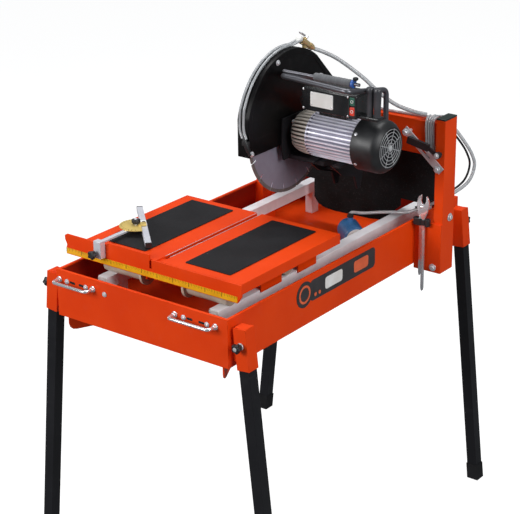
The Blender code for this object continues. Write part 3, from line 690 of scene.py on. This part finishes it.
paint_node("tray", TRAY_ORANGE)
for node in ("column_left", "column_right", "crossbeam", "table", "front_plate"):
    paint_node(node, ORANGE)
for corner in CORNERS:
    paint_node("socket_" + corner, ORANGE)
    paint_node("leg_" + corner, BLACK)
    paint_node("foot_" + corner, FOOT_RUBBER)
for node in ("rail_left", "rail_right"):
    paint_node(node, RAIL_ZINC_SHEEN)
paint_node("depth_strip", STEEL)
paint_node("head_arm", BLACK)
paint_node("miter_clamp", ALUMINIUM)
paint_node("miter_protractor", GOLD)
paint_node("ruler", TAPE)
paint_node("depth_lever", PLASTIC)
paint_node("fan", PLASTIC)
paint_node("pump", BLUE)
paint_node("curtain", CURTAIN_SHADED_RUBBER)
paint_node("valve_lever", CHROME)


# Tray, rails and stand


def leg_x(side, z):
    """Where a leg's centre line is at a height."""
    out = 25 + (-20 - z) * math.tan(LEG_TILT)
    return TRAY_WIDTH + out if side > 0 else -out


def corner_place(corner):
    """Which side a corner is on, as -1 or 1, and its leg's y."""
    return (1 if "right" in corner else -1), LEG_Y[corner.split("_")[0]]


def make_grab_bar(side, left, right):
    route = [(left, -0.3, -25), (left, -28, -25), (right, -28, -25), (right, -0.3, -25)]
    shapes = [sweep(rounded(route, 11, 8), 4, 20)]
    for x in (left, right):
        shapes.append(turned((x, -0.3, -25), FRONT, ((0, 8), (1.6, 8), (2.6, 6.6), (2.6, 4.2)), 28))
        shapes.append(turned((x, -3, -25), FRONT, ((0, 6.4), (5, 6.4), (6, 5.4)), 6))
    piece("grab_bar_" + side + "_shown", shapes, CHROME, "frame", ["grab_bar_" + side], 0.4)


make_grab_bar("left", 10, 122)
make_grab_bar("right", 384, 507)

front_bolts = []
for x, z in ((35, -26), (98, -26), (160, -30), (411, -26), (482, -26)):
    front_bolts += hex_bolt((x, -0.1, z), FRONT, 8, 3.4)
piece("front_bolts", front_bolts, STEEL, "frame", bevel=0.3)
# Dark plates in the front panel's slots: painted shade inside the openings.
bar_slot_shade = [prism("y", round_rect((x, -29), (x + 18, -23), 3), -0.5, -0.05) for x in (44, 74, 420, 456)]
piece("bar_slot_shade", bar_slot_shade, GLOSSY_PLASTIC, "frame")

for side, left in (("left", 75), ("right", 432)):
    plug = [prism("y", round_rect((left + 0.4, -53.6), (left + 29.6, -24.4), 3), 68.4, 71.9)]
    plug.append(prism("y", round_rect((left + 6, -48), (left + 24, -30), 4), 67.2, 68.6))
    piece("rail_plug_" + side, plug, WHITE_PLASTIC, "frame", bevel=0.8)

plug = ((0, 24), (2.4, 24), (4, 21), (4, 12), (9, 11), (10, 9))
piece("drain_plug", [turned((498, 690, -121.9), UP, plug, 40)], WHITE_PLASTIC, "frame", bevel=0.5)

KNOB = [(0, 4), (8, 4), (8.2, 8.6, 1), (9.4, 9.8, 1.5), (11, 10.9, 1.8), (18.5, 11, 1.8)]
KNOB += [(20.6, 10.4, 1.6), (22, 8.6, 1)]
KNOB_DIRECTIONS = {
    "front_left": (-math.cos(LEG_TILT), 0, math.sin(LEG_TILT)),
    "front_right": FRONT,
}
for corner in CORNERS:
    direction = Vector(KNOB_DIRECTIONS.get(corner, (0, 1, 0)))
    side, y = corner_place(corner)
    centre = Vector((leg_x(side, -62), y, -62)) + direction * 18.3
    knob = [turned(centre, direction, KNOB, 60, lobes=5)]
    name = "clamp_knob_" + corner
    piece(name + "_shown", knob, PLASTIC, "clamp_" + corner, [name], 0.5)
    boss = [turned(centre - direction * 0.2, direction, ((0, 9), (3, 9), (4, 8), (4, 4.6), (0, 4.6)), 32)]
    piece("clamp_boss_" + corner, boss, STEEL, "frame")
    hub = [turned(centre + direction * 22, direction, ((0, 5.2), (0.8, 5), (1.2, 4.2)), 32)]
    piece("clamp_knob_cap_" + corner, hub, GREY_PLASTIC, "clamp_" + corner)

for corner in CORNERS:
    side, y = corner_place(corner)
    x = leg_x(side, -20)
    cover = prism("z", round_rect((x - 15, y - 15), (x + 15, y + 15), 2), -20.4, -18.4)
    piece("socket_cover_" + corner, [cover], ORANGE, "frame", bevel=0.5)


# The label on the tray's side: a dark plate with plain shapes


LABEL_BACK = TRAY_WIDTH + 0.1
LABEL_FRONT = TRAY_WIDTH + 0.6
BADGE = (LABEL_BACK, 306, -42)


def side_plate(low_y, high_y, low_z, high_z, radius, thick, base=LABEL_BACK):
    return prism("x", round_rect((low_y, low_z), (high_y, high_z), radius, 8), base, base + thick)


piece("side_label", [side_plate(330, 620, -70, -14, 12, 0.5)], LABEL, "frame", bevel=0.15)
disc = turned(BADGE, RIGHT, ((0, 34), (0.7, 34), (0.8, 33)), 64)
piece("side_badge", [disc], LABEL, "frame")
ring = ((0.9, 18), (0.9, 24), (1.3, 24), (1.3, 18))
piece("side_badge_ring", [turned(BADGE, RIGHT, ring, 64, True)], LABEL_ORANGE, "frame")
dot = ((0.6, 5), (0.95, 5), (1, 4.4))
dots = [turned((LABEL_BACK, y, -56), RIGHT, dot, 24) for y in (352, 370)]
piece("side_label_dots", dots, LABEL_ORANGE, "frame")
for name, tint, front, back in (("bar", LABEL_WHITE, 394, 470), ("block", LABEL_ORANGE, 522, 588)):
    plate = side_plate(front, back, -58, -26, 8, 0.4, LABEL_FRONT)
    piece("side_label_" + name, [plate], tint, "frame", bevel=0.15)


# Columns, beam and what hangs on them

cap_right = [block((598.6, 816.6, 286.6), (626.4, 875.4, 291.5))]
cap_left = [block((7.9, 816.6, 286.6), (30.8, 875.4, 291.5))]
piece("column_caps", cap_right + cap_left, CAP_PLASTIC, "frame", bevel=1.6, segments=3)

column_bolts = hex_bolt((626, 853, 13), RIGHT, 13, 5)
column_bolts += hex_bolt((603, 811.9, -124), FRONT, 12, 4.5)
for x, z in ((513, 241), (612, 157)):
    column_bolts += hex_bolt((x, 803.9, z), FRONT, 11, 4)
for x in (300, 450):
    direction = -1 if x == 300 else 1
    column_bolts += hex_bolt((x, *PIVOT), (direction, 0, 0), 13, 5)
piece("column_bolts", column_bolts, STEEL, "frame", bevel=0.4)

lever_bolt = hex_bolt((613, 797.6, 196), FRONT, 9, 3)
piece("lever_bolt", lever_bolt, STEEL, "depth_lock", bevel=0.3)


def make_coil():
    """Turns of hose round the beam's end, each sagging a little differently."""
    turns = 4
    steps = 40
    route = []
    for i in range(turns * steps + 1):
        angle = 2 * math.pi * i / steps + math.pi / 2
        reach = 1 + 0.02 * math.sin(1.7 * i / steps * math.pi)
        y = 852 + 25.2 * math.copysign(abs(math.cos(angle)) ** 0.5, math.cos(angle)) * reach
        z = 224 + 59.5 * math.copysign(abs(math.sin(angle)) ** 0.5, math.sin(angle)) * reach
        route.append((562.5 + 28 * i / (turns * steps) - 0.05 * (z - 224), y, z))
    return sweep(route, 3.3, 14)


piece("hose_coil_shown", [make_coil()], CLEAR, "frame", ["hose_coil"])

supply = [(585, 888, 262), (603, 906, 240), (620, 929, 202), (631, 950, 165), (634, 962, 128)]
supply += [(626, 946, 86), (598, 908, 55), (562, 884, 32), (525, 868, 12), (487, 860, -6)]
supply += [(447, 856, -12), (405, 850, -20), (362, 838, -28), (330, 829, -30), (325, 828, -39)]
supply_tube = sweep(curved(supply), 4.5, 16)
piece("hose_supply_shown", [supply_tube], CLEAR, "frame", ["hose_supply"])
second = [(x - 9, y - 10, z + 3) for x, y, z in supply[1:9]]
second[0] = (590, 885, 255)
piece("hose_return", [sweep(curved(second), 3, 12)], GLOSSY_PLASTIC, "frame")

ON_BEAM = 276.5
beam_hose = [(560, 852, ON_BEAM + 3)]
for x, y in ((500, 856), (430, 850), (350, 854), (270, 848), (180, 852), (110, 850)):
    beam_hose.append((x, y, ON_BEAM))
piece("beam_hose", [sweep(curved(beam_hose), 3.6, 14)], CLEAR, "frame")

hose_start = VALVE_CENTRE + VALVE_DIRECTION * 52
hose_route = [hose_start, (288, 758, 432), (323, 775, 413), (379, 800, 370), (420, 812, 335)]
hose_route += [(468, 822, 306), (515, 836, 291), (551, 846, 286)]


def make_water_hose():
    """Runs from the valve to the coil; it is taken off every body and stays where it is built."""
    thing = piece("water_hose_shown", [sweep(curved(hose_route, 12), 5.4, 16)], RIBBED, "frame")
    thing.parent = None
    del thing["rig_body"]
    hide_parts("water_hose")
    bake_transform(thing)


make_water_hose()


def make_wrenches():
    """An adjustable wrench with its worm, and an open-ended one behind it."""
    large = [(573, -186), (573, 10), (568, 20), (559, 36.4), (557, 47), (557, 57.4), (559, 67)]
    large += [(562, 74.4), (566, 78), (570, 79.4), (569, 60.4), (572, 55), (577, 52.4), (581, 56)]
    large += [(584, 62.4), (585, 77.4), (589, 73), (591, 68.4), (593, 60), (593, 52.4), (590, 36.4)]
    large += [(585, 24), (581, 14.4), (581, -186), (579, -193), (577, -195), (575, -193)]
    thread = list(zip((0, 2, 3, 5, 6, 8, 9, 11), (3.4, 4.1) * 4))
    worm = turned((566.5, 802.5, 44), (1, 0, 0.25), thread, 24)
    body = [prism("y", large, 799.7, 805.3), worm]
    piece("wrench_large_shown", body, CHROME, "large_wrench", ["wrench_large"], 1.2)
    panel = prism("y", [(575, -176), (579, -176), (579, -20), (575, -20)], 799.2, 799.8)
    piece("wrench_large_panel", [panel], STEEL, "large_wrench", bevel=0.2)
    small = [(560, -146), (560, 14.4), (555, 22), (554, 28), (555, 34), (560, 38), (561, 28)]
    small += [(564, 25.5), (567, 28), (568, 38), (573, 34), (574, 28), (573, 22), (568, 14.4)]
    small += [(568, -146), (566, -153), (564, -155), (562, -153)]
    body = [prism("y", small, 807.3, 810.3)]
    piece("wrench_small_shown", body, CHROME, "small_wrench", ["wrench_small"], 0.8)


make_wrenches()
collars = [prism("z", round_rect((546.2, 796.2), (572, 811.6), 5), -7, 13)]
collars.append(prism("z", round_rect((582, 796.2), (595.8, 811.6), 5), -7, 13))
collars.append(block((571, 796.4, -5), (583, 799, 11)))
piece("tool_holder_shown", collars, PLASTIC, "frame", ["tool_holder"], 1.5, segments=3)


# Pump

centre = Vector((306, 845, -86))
pump_axis = Vector((0.75, -0.66, 0))
strainer = [turned(centre, pump_axis, ((91.1, 29), (93, 29), (95, 25), (95, 8), (97, 7)), 48)]
piece("pump_strainer", strainer, WHITE_PLASTIC, "frame", bevel=0.5)
# Dark slabs on the strainer's face: painted shade inside its slots.
strainer_slot_shade = []
for i in range(12):
    angle = math.pi * i / 6
    along, side, up = frame_of(pump_axis)
    outward = side * math.cos(angle) + up * math.sin(angle)
    width_axis = side.lerp(up, 0.5).cross(outward).cross(outward)
    strainer_slot_shade.append(slab(centre + along * 95.2 + outward * 17, outward, width_axis, (11, 2.4, 1)))
piece("pump_strainer_slot_shade", strainer_slot_shade, GLOSSY_PLASTIC, "frame")
outlet = turned((325, 828, -44), UP, ((0, 9.5), (5, 9.5), (5, 7), (12, 6.4)))
piece("pump_outlet", [outlet], PLASTIC, "frame", bevel=0.4)


# Cart

for node in ("pad_left", "pad_right"):
    low, high = node_box(node)
    sheet = prism("z", round_rect((low.x, low.y), (high.x, high.y), 3), low.z, high.z)
    piece(node + "_shown", [sheet], PAD_RUBBER, "cart", [node], 0.7, segments=3)

lips = [block((x, 118, 55.9), (x + 1.2, 489, 56.7)) for x in (259.2, 273.6)]
piece("slot_edges", lips, STEEL, "cart", bevel=0.2)
FRONT_SPOOL = [(72, 21), (73, 21.5), (197, 21.5), (197, 29.5), (198, 30), (204, 30), (205, 29.5)]
FRONT_SPOOL += [(205, 8), (332, 8), (332, 29.5), (333, 30), (339, 30), (340, 29.5), (340, 21.5)]
FRONT_SPOOL += [(464, 21.5), (465, 21)]
REAR_SPOOL = [(76, 21), (77, 21.5), (105.5, 21.5), (106, 28), (111, 28), (111, 8)]
REAR_SPOOL += [(426, 8), (426, 28), (431, 28), (431.5, 21.5), (459, 21.5), (460, 21)]
# Cream nylon rollers, darkened to grey-beige as painted shade under the cart.
ROLLER_SHADED_NYLON = moulded("roller_nylon_shaded", srgb(176, 164, 148), 0.36)
for side, profile, y in (("front", FRONT_SPOOL, 116), ("rear", REAR_SPOOL, 351)):
    name = "roller_" + side
    spool = [turned((0, y, -2.2), RIGHT, profile, 64)]
    piece(name + "_shown", spool, ROLLER_SHADED_NYLON, side + "_roller", [name], 0.4)


# Miter gauge

along_fence = Vector((191, -187, 0)).normalized()
to_fence = Vector((-along_fence.y, along_fence.x, 0))
fence_centre = Vector((101.5, 220.5, 66.5))


def make_fence():
    """An extrusion with a groove in each face, black end caps and a white carrier plate."""
    section = [(-7.7, -6.8), (7.7, -6.8), (7.7, -3.6), (6.4, -3), (6.4, -1), (7.7, -0.4)]
    section += [(7.7, 6.8), (-7.7, 6.8), (-7.7, 4), (-6.4, 3.4), (-6.4, 1), (-7.7, 0.4)]
    rings = []
    caps = []
    for end in (-1, 1):
        middle = fence_centre + along_fence * 131 * end
        rings.append([middle + to_fence * u + Vector((0, 0, w)) for u, w in section])
        cap_centre = fence_centre + along_fence * 133 * end
        caps.append(slab(cap_centre, along_fence, to_fence, (4.2, 16, 14.2)))
    bar = loft(rings)
    piece("miter_fence_shown", [bar], ALUMINIUM, "miter_swing", ["miter_fence"], 0.35)
    piece("miter_fence_caps", caps, PLASTIC, "miter_swing", bevel=0.7)
    carrier = fence_centre + along_fence * -4 + Vector((0, 0, 8.4))
    plate = slab(carrier, along_fence, to_fence, (34, 15, 3))
    piece("miter_carrier", [plate], WHITE_PLASTIC, "miter_swing", bevel=0.8)
    dot = turned(carrier + Vector((0, 0, 1.6)), UP, ((0, 4.6), (1.6, 4.6), (2.2, 3.6)), 32)
    piece("miter_carrier_dot", [dot], GLOSSY_PLASTIC, "miter_swing")


make_fence()
scale = []
for i in range(13):
    angle = math.atan2(along_fence.y, along_fence.x) + math.pi * (1 + (i + 0.5) / 13.0)
    outward = Vector((math.cos(angle), math.sin(angle), 0))
    across = Vector((-outward.y, outward.x, 0))
    mark = Vector((*MITER_PIVOT, 75.95)) + outward * 38.5
    scale.append(slab(mark, outward, across, (6, 0.8, 0.3)))
piece("miter_scale_marks", scale, GLOSSY_PLASTIC, "miter_swing")


def make_miter_knob(name, body, centre, direction, profile):
    knob = turned(centre, direction, profile, 60, lobes=5)
    piece(name + "_shown", [knob], PLASTIC, body, [name], 0.4)


screw = ((0, 3), (6.8, 3), (7, 8.6, 1), (8.4, 10, 1.6), (16, 10.6, 1.8), (18, 9.8, 1.4), (19, 8.4, 1))
make_miter_knob("miter_knob", "miter_clamp_knob", (82, 57.7, 41), FRONT, screw)
cap = ((0, 8.4, 1), (1, 9.6, 1.4), (3, 10.2, 1.6), (9, 10.2, 1.6), (11, 9.2, 1.2), (12, 7.6, 0.8))
make_miter_knob("miter_pivot_knob", "miter_lock_knob", (*MITER_PIVOT, 79.6), UP, cap)
stud = turned((*MITER_PIVOT, 91.4), UP, ((0, 4.4), (1.2, 4.4), (1.8, 3.6)), 28)
piece("miter_pivot_stud", [stud], STEEL, "miter_lock_knob")


# Guard, blade and spindle


def guard_outline(inset):
    """The guard's side view: flat at the front and bottom, round above, with a slope at the back."""
    front = 424 + inset
    radius = GUARD_RADIUS - inset
    start = math.degrees(math.acos((front - GUARD_CENTRE[0]) / radius))
    points = [(front, 228)]
    points += arc(GUARD_CENTRE, radius, start, 52, 48)
    points += [(804 - inset * 1.2, 351 - inset * 0.6), (800 - inset, 228)]
    return points


def make_guard():
    """The cover's two cheeks, joined by a rim band that stands a little proud of them."""
    shapes = []
    left, right = GUARD_X
    for low, high in ((left + 0.6, left + 3), (right - 3, right - 0.6)):
        shapes.append(prism("x", guard_outline(0.8), low, high))
    outer = guard_outline(0)
    inner = guard_outline(3)
    band = []
    for (y, z), (v, w) in zip(outer, inner):
        band.append([(left, y, z), (right, y, z), (right, v, w), (left, v, w)])
    shapes.append(loft(band))
    piece("guard_shown", shapes, GUARD_BLACK, "head", ["guard"], 0.6)
    flange = []
    back, face = right - 0.8, right + 0.6
    for (y, z), (v, w) in zip(guard_outline(0.4), guard_outline(13)):
        flange.append([(back, y, z), (face, y, z), (face, v, w), (back, v, w)])
    piece("guard_rim", [loft(flange)], GUARD_BLACK, "head", bevel=0.3)
    bolts = []
    for y, z in ((548, 451), (434, 237)):
        bolts += hex_bolt((right + 0.4, y, z), RIGHT, 9, 3.6)
    piece("guard_bolts", bolts, STEEL, "head", bevel=0.3)


make_guard()

for index, x in enumerate((258, 270)):
    route = [tuple(VALVE_CENTRE - VALVE_DIRECTION * 22 + Vector((x - 264, 0, 0)))]
    route += [(x, y, z) for y, z in arc(GUARD_CENTRE, GUARD_RADIUS + 5, 82, 160, 26)]
    route += [(x, 424, 330), (x + 4, 419, 300), (x + 14, 416, 281)]
    piece(f"spray_hose_{index}", [sweep(curved(route, 3), 3.4, 14)], CLEAR, "head")
nozzle = [turned((276, 416, 282), (0.35, 0.1, -1), ((0, 5), (6, 6.4), (34, 6.4), (38, 4.4), (48, 3.6)), 28)]
nozzle.append(block((268, 417, 262), (290, 423.4, 274)))
piece("spray_nozzle", nozzle, PLASTIC, "head", bevel=0.5)


def make_blade():
    """A core with slots at its edge, and one diamond segment between each two slots."""
    segments = 18
    gap = 0.7
    segment_foot = BLADE_RADIUS - 9
    slot_bottom = BLADE_RADIUS - 22
    core = []
    rim = []
    for i in range(segments):
        start = 360 / segments * i
        end = start + 360 / segments
        core += arc(ARBOR, segment_foot, start + gap, end - gap, 8)
        core += arc(ARBOR, slot_bottom, end - gap, end + gap, 2)
        outer = arc(ARBOR, BLADE_RADIUS, start + gap, end - gap, 8)
        inner = arc(ARBOR, segment_foot, end - gap, start + gap, 8)
        rim.append(prism("x", outer + inner, BLADE_X - 1.9, BLADE_X + 1.9))
    disc = prism("x", core, BLADE_X - 1.3, BLADE_X + 1.3)
    piece("blade_core", [disc], BLADE_CORE, "spindle", ["blade"], 0.15)
    piece("blade_segments", rim, BLADE_RIM, "spindle", bevel=0.3)


make_blade()
profile = [(255, 11), (259, 13), (259, 42), (262, 44), (266.4, 44), (266.4, 12), (269.6, 12)]
profile += [(269.6, 44), (272, 44), (277, 30), (279, 18), (304, 18), (304, 12), (362, 12)]
profile += [(362, 45), (470, 45), (470, 9), (540, 9)]
spindle = [turned((0, *ARBOR), RIGHT, profile, 72)]
spindle.append(turned((246, *ARBOR), RIGHT, ((0, 13), (2, 15), (11, 15)), 6))
piece("arbor_shown", spindle, STEEL, "spindle", ["arbor"], 0.4)


# Motor


def rib_ring(x, radius, depth):
    """One section of a ribbed barrel."""
    pitch = 360 / MOTOR_RIBS
    points = []
    for i in range(MOTOR_RIBS):
        start = pitch * i
        points += arc(ARBOR, radius, start, start + 4.2, 1)
        points += arc(ARBOR, radius - depth, start + 5.4, start + pitch - 1.2, 1)
    return [(x, y, z) for y, z in points]


def make_motor():
    barrel = loft([rib_ring(x, 60, 6.5) for x in (364, 512)])
    lip = ((0, 55), (0, 60.2), (4, 60.2), (4, 55))
    rings = [turned((x, *ARBOR), RIGHT, lip, 72, True) for x in (360, 508)]
    piece("motor_shown", [barrel, *rings], MOTOR_SILVER, "head", ["motor"], 0.4)
    curve = ((308, 47), (312, 52), (322, 56), (336, 58), (360, 59))
    bell = loft([rib_ring(x, radius, 5) for x, radius in curve])
    nose = turned((302, *ARBOR), RIGHT, ((0, 26), (0, 36), (3, 42), (8, 44), (8, 26)), 60, True)
    piece("motor_end_shield", [bell, nose], SHIELD, "head", bevel=0.4)
    feet = [block((x, 566, 196), (x + 24, 676, 202)) for x in (362, 442)]
    piece("motor_feet", feet, BLACK, "head", bevel=1.0)
    screws = []
    for i in range(4):
        angle = math.pi / 4 + math.pi / 2 * i
        centre = (304, ARBOR[0] + 40 * math.cos(angle), ARBOR[1] + 40 * math.sin(angle))
        screws += hex_bolt(centre, (-1, 0, 0), 7, 3)
    piece("motor_shield_bolts", screws, STEEL, "head", bevel=0.3)


make_motor()


def make_fan_cover():
    """A cup over the fan, closed by a wire grille of rings and spokes."""
    section = [(506, 60.8), (506, 69), (560, 69), (567, 68.2), (572, 66), (579, 60.5), (585, 54)]
    section += [(585, 51.5), (581, 51.5), (568, 62), (560, 65.5), (510, 65.5), (510, 60.8)]
    cup = turned((0, *ARBOR), RIGHT, section, 80, True)
    piece("fan_cover_shown", [cup], PLASTIC, "head", ["fan_cover"], 0.4)
    wires = []
    for radius in (14, 23, 32, 41, 49):
        wire = arc((584, radius), 0.9, 0, 315, 7)
        wires.append(turned((0, *ARBOR), RIGHT, wire, 72, True))
    for i in range(4):
        angle = math.pi / 4 * i + math.pi / 8
        reach = Vector((0, math.cos(angle), math.sin(angle))) * 51
        centre = Vector((582.4, *ARBOR))
        wires.append(sweep([centre - reach, centre, centre + reach], 1.0, 10))
    wires.append(turned((581.5, *ARBOR), RIGHT, ((0, 8), (3.4, 8), (4.4, 6.6)), 36))
    piece("fan_grille", wires, GREY_PLASTIC, "head")
    screws = []
    for degrees in (35, 145, 215, 325):
        angle = math.radians(degrees)
        outward = Vector((0, math.cos(angle), math.sin(angle)))
        seat = Vector((516, *ARBOR)) + outward * 68.8
        screws.append(turned(seat, outward, ((0, 4.4), (1, 4.4), (2, 3), (2, 1)), 24))
    piece("fan_cover_screws", screws, STEEL, "head")


make_fan_cover()


# Switch box, handle and valve


def make_switch_box():
    shapes = [block((357, 555, 340), (523.7, 625, 398)), block((385, 590, 320), (470, 622, 342))]
    shapes.append(block((520, 562, 341), (582, 592, 350)))
    shapes.append(block((360, 558, 396), (521, 622, 401)))
    stands_for = ["switch_box"]
    piece("switch_box_shown", shapes, GLOSSY_PLASTIC, "head", stands_for, 2.2, segments=3)
    plate = prism("y", round_rect((384, 353), (453, 391), 3), 553.6, 555.3)
    piece("switch_plate", [plate], WHITE_PLASTIC, "head", bevel=0.5)
    screws = []
    for x, z in ((389, 358), (448, 358), (389, 386), (448, 386)):
        screws.append(turned((x, 553.7, z), FRONT, ((0, 2.4), (0.5, 2.4), (1, 1.6)), 20))
    for x, z in ((362, 345), (362, 394), (498, 345), (498, 394)):
        screws.append(turned((x, 555.2, z), FRONT, ((0, 3), (0.8, 3), (1.3, 2)), 20))
    piece("switch_screws", screws, STEEL, "head")
    outer = round_rect((501, 345), (523, 400), 4)
    inner = round_rect((504.6, 348.4), (520.6, 397.6), 3)
    bezel = []
    for outline, y in ((outer, 555.4), (outer, 551.4), (inner, 551.4), (inner, 555.4)):
        bezel.append([(x, y, z) for x, z in outline])
    piece("switch_bezel", [loft(bezel, True)], PLASTIC, "head")


def make_button(name, low, tint):
    """A cap that travels in the bezel, with a raised white ring in place of its lettering."""
    cap = prism("y", round_rect((505.4, low + 0.2), (520.1, low + 21.8), 3), 550.4, 562.8)
    piece(f"button_{name}_shown", [cap], tint, f"{name}_button", [f"button_{name}"], 1.4, segments=3)
    section = ((0, 4.4), (0.5, 4.2), (0.5, 2.8), (0, 2.8))
    ring = turned((512.75, 550.5, low + 11), FRONT, section, 32, True)
    piece(f"button_{name}_ring", [ring], WHITE_PLASTIC, f"{name}_button")


def make_cable_gland():
    nut = ((0, 12), (4, 12), (4, 10), (12, 10), (15, 7.5), (20, 6))
    gland = turned((357.2, 590, 362), (-1, 0, 0), nut, 32)
    route = [(338, 590, 362), (328, 594, 352), (322, 606, 338), (330, 616, 322)]
    lead = sweep(curved(route, 8), 4.6, 14)
    piece("switch_gland", [gland], PLASTIC, "head", bevel=0.4)
    piece("motor_lead", [lead], PLASTIC, "head")


def make_capacitors():
    can = ((0, 8), (4, 8.4), (62, 10), (64, 10.4), (73, 10.4), (75, 9), (76, 5))
    cans = [turned((x, 577, 348), UP, can, 40) for x in (550, 571.5)]
    piece("capacitors", cans, CAN_GREY, "head", bevel=0.3)


make_switch_box()
make_button("start", 374.8, GREEN)
make_button("stop", 349.2, RED)
make_cable_gland()
make_capacitors()


def make_handle():
    """A bent tube from the guard round the switch box, and a foam grip on its own rod."""
    route = [(287.5, 736, 371), (309, 736, 371), (309, 533, 425), (531, 505, 425)]
    route += [(531, 679, 390), (531, 679, 308)]
    tube = [sweep(rounded(route, 16, 10), 7, 24)]
    piece("handle_shown", tube, HANDLE_BLACK, "head", ["handle"])
    plugs = [turned((286.4, 736, 371), RIGHT, ((0, 11), (2.6, 11), (3.4, 9.4), (3.4, 7.2)), 32)]
    piece("handle_flange", plugs, STEEL, "head")
    rod = [turned((303, *GRIP_AXIS), RIGHT, ((0, 4.4), (232, 4.4)), 28)]
    piece("grip_rod", rod, HANDLE_BLACK, "head")
    sleeve = [(0, 6), (0.6, 9)]
    for i in range(13):
        start = 8.4 * i
        sleeve += [(2 + start, 10.3), (5 + start, 10.6), (8.2 + start, 10.3), (9.2 + start, 9.9)]
    sleeve += [(112, 9.4), (113, 6)]
    piece("grip_shown", [turned((399, *GRIP_AXIS), RIGHT, sleeve, 48)], FOAM, "head", ["grip"])
    band = [turned((512.4, *GRIP_AXIS), RIGHT, ((0, 8), (0.6, 10.7), (6.4, 10.7), (7, 8)), 48)]
    piece("grip_band", band, BLUE_BAND, "head")
    knob_profile = ((0, 3), (3, 3), (3, 6, 0.5), (8, 6.6, 0.7), (10, 5, 0.4))
    knob = turned((523, 551, 440), UP, knob_profile, 40, lobes=6)
    piece("grip_knob", [knob], PLASTIC, "head", bevel=0.3)


make_handle()


def make_valve():
    start = VALVE_CENTRE - VALVE_DIRECTION * 22
    profile = [(0, 6), (6, 6), (6, 9), (14, 9.5), (30, 9.5), (38, 9), (38, 6), (46, 6)]
    profile += [(46, 8.5), (62, 8.5), (62, 5.5), (70, 5.5)]
    shapes = [turned(start, VALVE_DIRECTION, profile, 40)]
    shapes.append(turned(start, VALVE_DIRECTION, ((6, 10.4), (13, 10.4)), 6))
    shapes.append(turned(start, VALVE_DIRECTION, ((46, 9.6), (54, 9.6)), 6))
    shapes.append(turned(VALVE_CENTRE, VALVE_STEM, ((0, 5), (9, 5), (9, 4), (12.7, 4)), 28))
    shapes.append(turned((268, 690, 457), UP, ((0, 6), (14, 6)), 28))
    piece("water_valve_shown", shapes, BRASS, "head", ["water_valve"], 0.4)
    fitting = [turned(start - VALVE_DIRECTION * 12, VALVE_DIRECTION, ((0, 6), (2, 8.6), (12, 8.6)), 32)]
    piece("valve_fitting", fitting, WHITE_PLASTIC, "head", bevel=0.4)


make_valve()


# Floor


def make_floor():
    mesh = bpy.data.meshes.new("floor")
    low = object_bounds()[0].z - 0.0005
    mesh.from_pydata([(-30, -30, low), (30, -30, low), (30, 30, low), (-30, 30, low)], [], [(0, 1, 2, 3)])
    floor = bpy.data.objects.new("floor", mesh)
    bpy.context.scene.collection.objects.link(floor)
    finish = Finish("floor_white", 0.9)
    finish.colour(finish.mix(finish.noise(1.5, 3.0), srgb(150, 150, 150), srgb(146, 146, 147)))
    finish.shader.inputs["Emission Color"].default_value = (1, 1, 1, 1)
    finish.shader.inputs["Emission Strength"].default_value = 0.9
    mesh.materials.append(finish.material)
    floor.visible_glossy = False
    floor.visible_diffuse = False


make_floor()
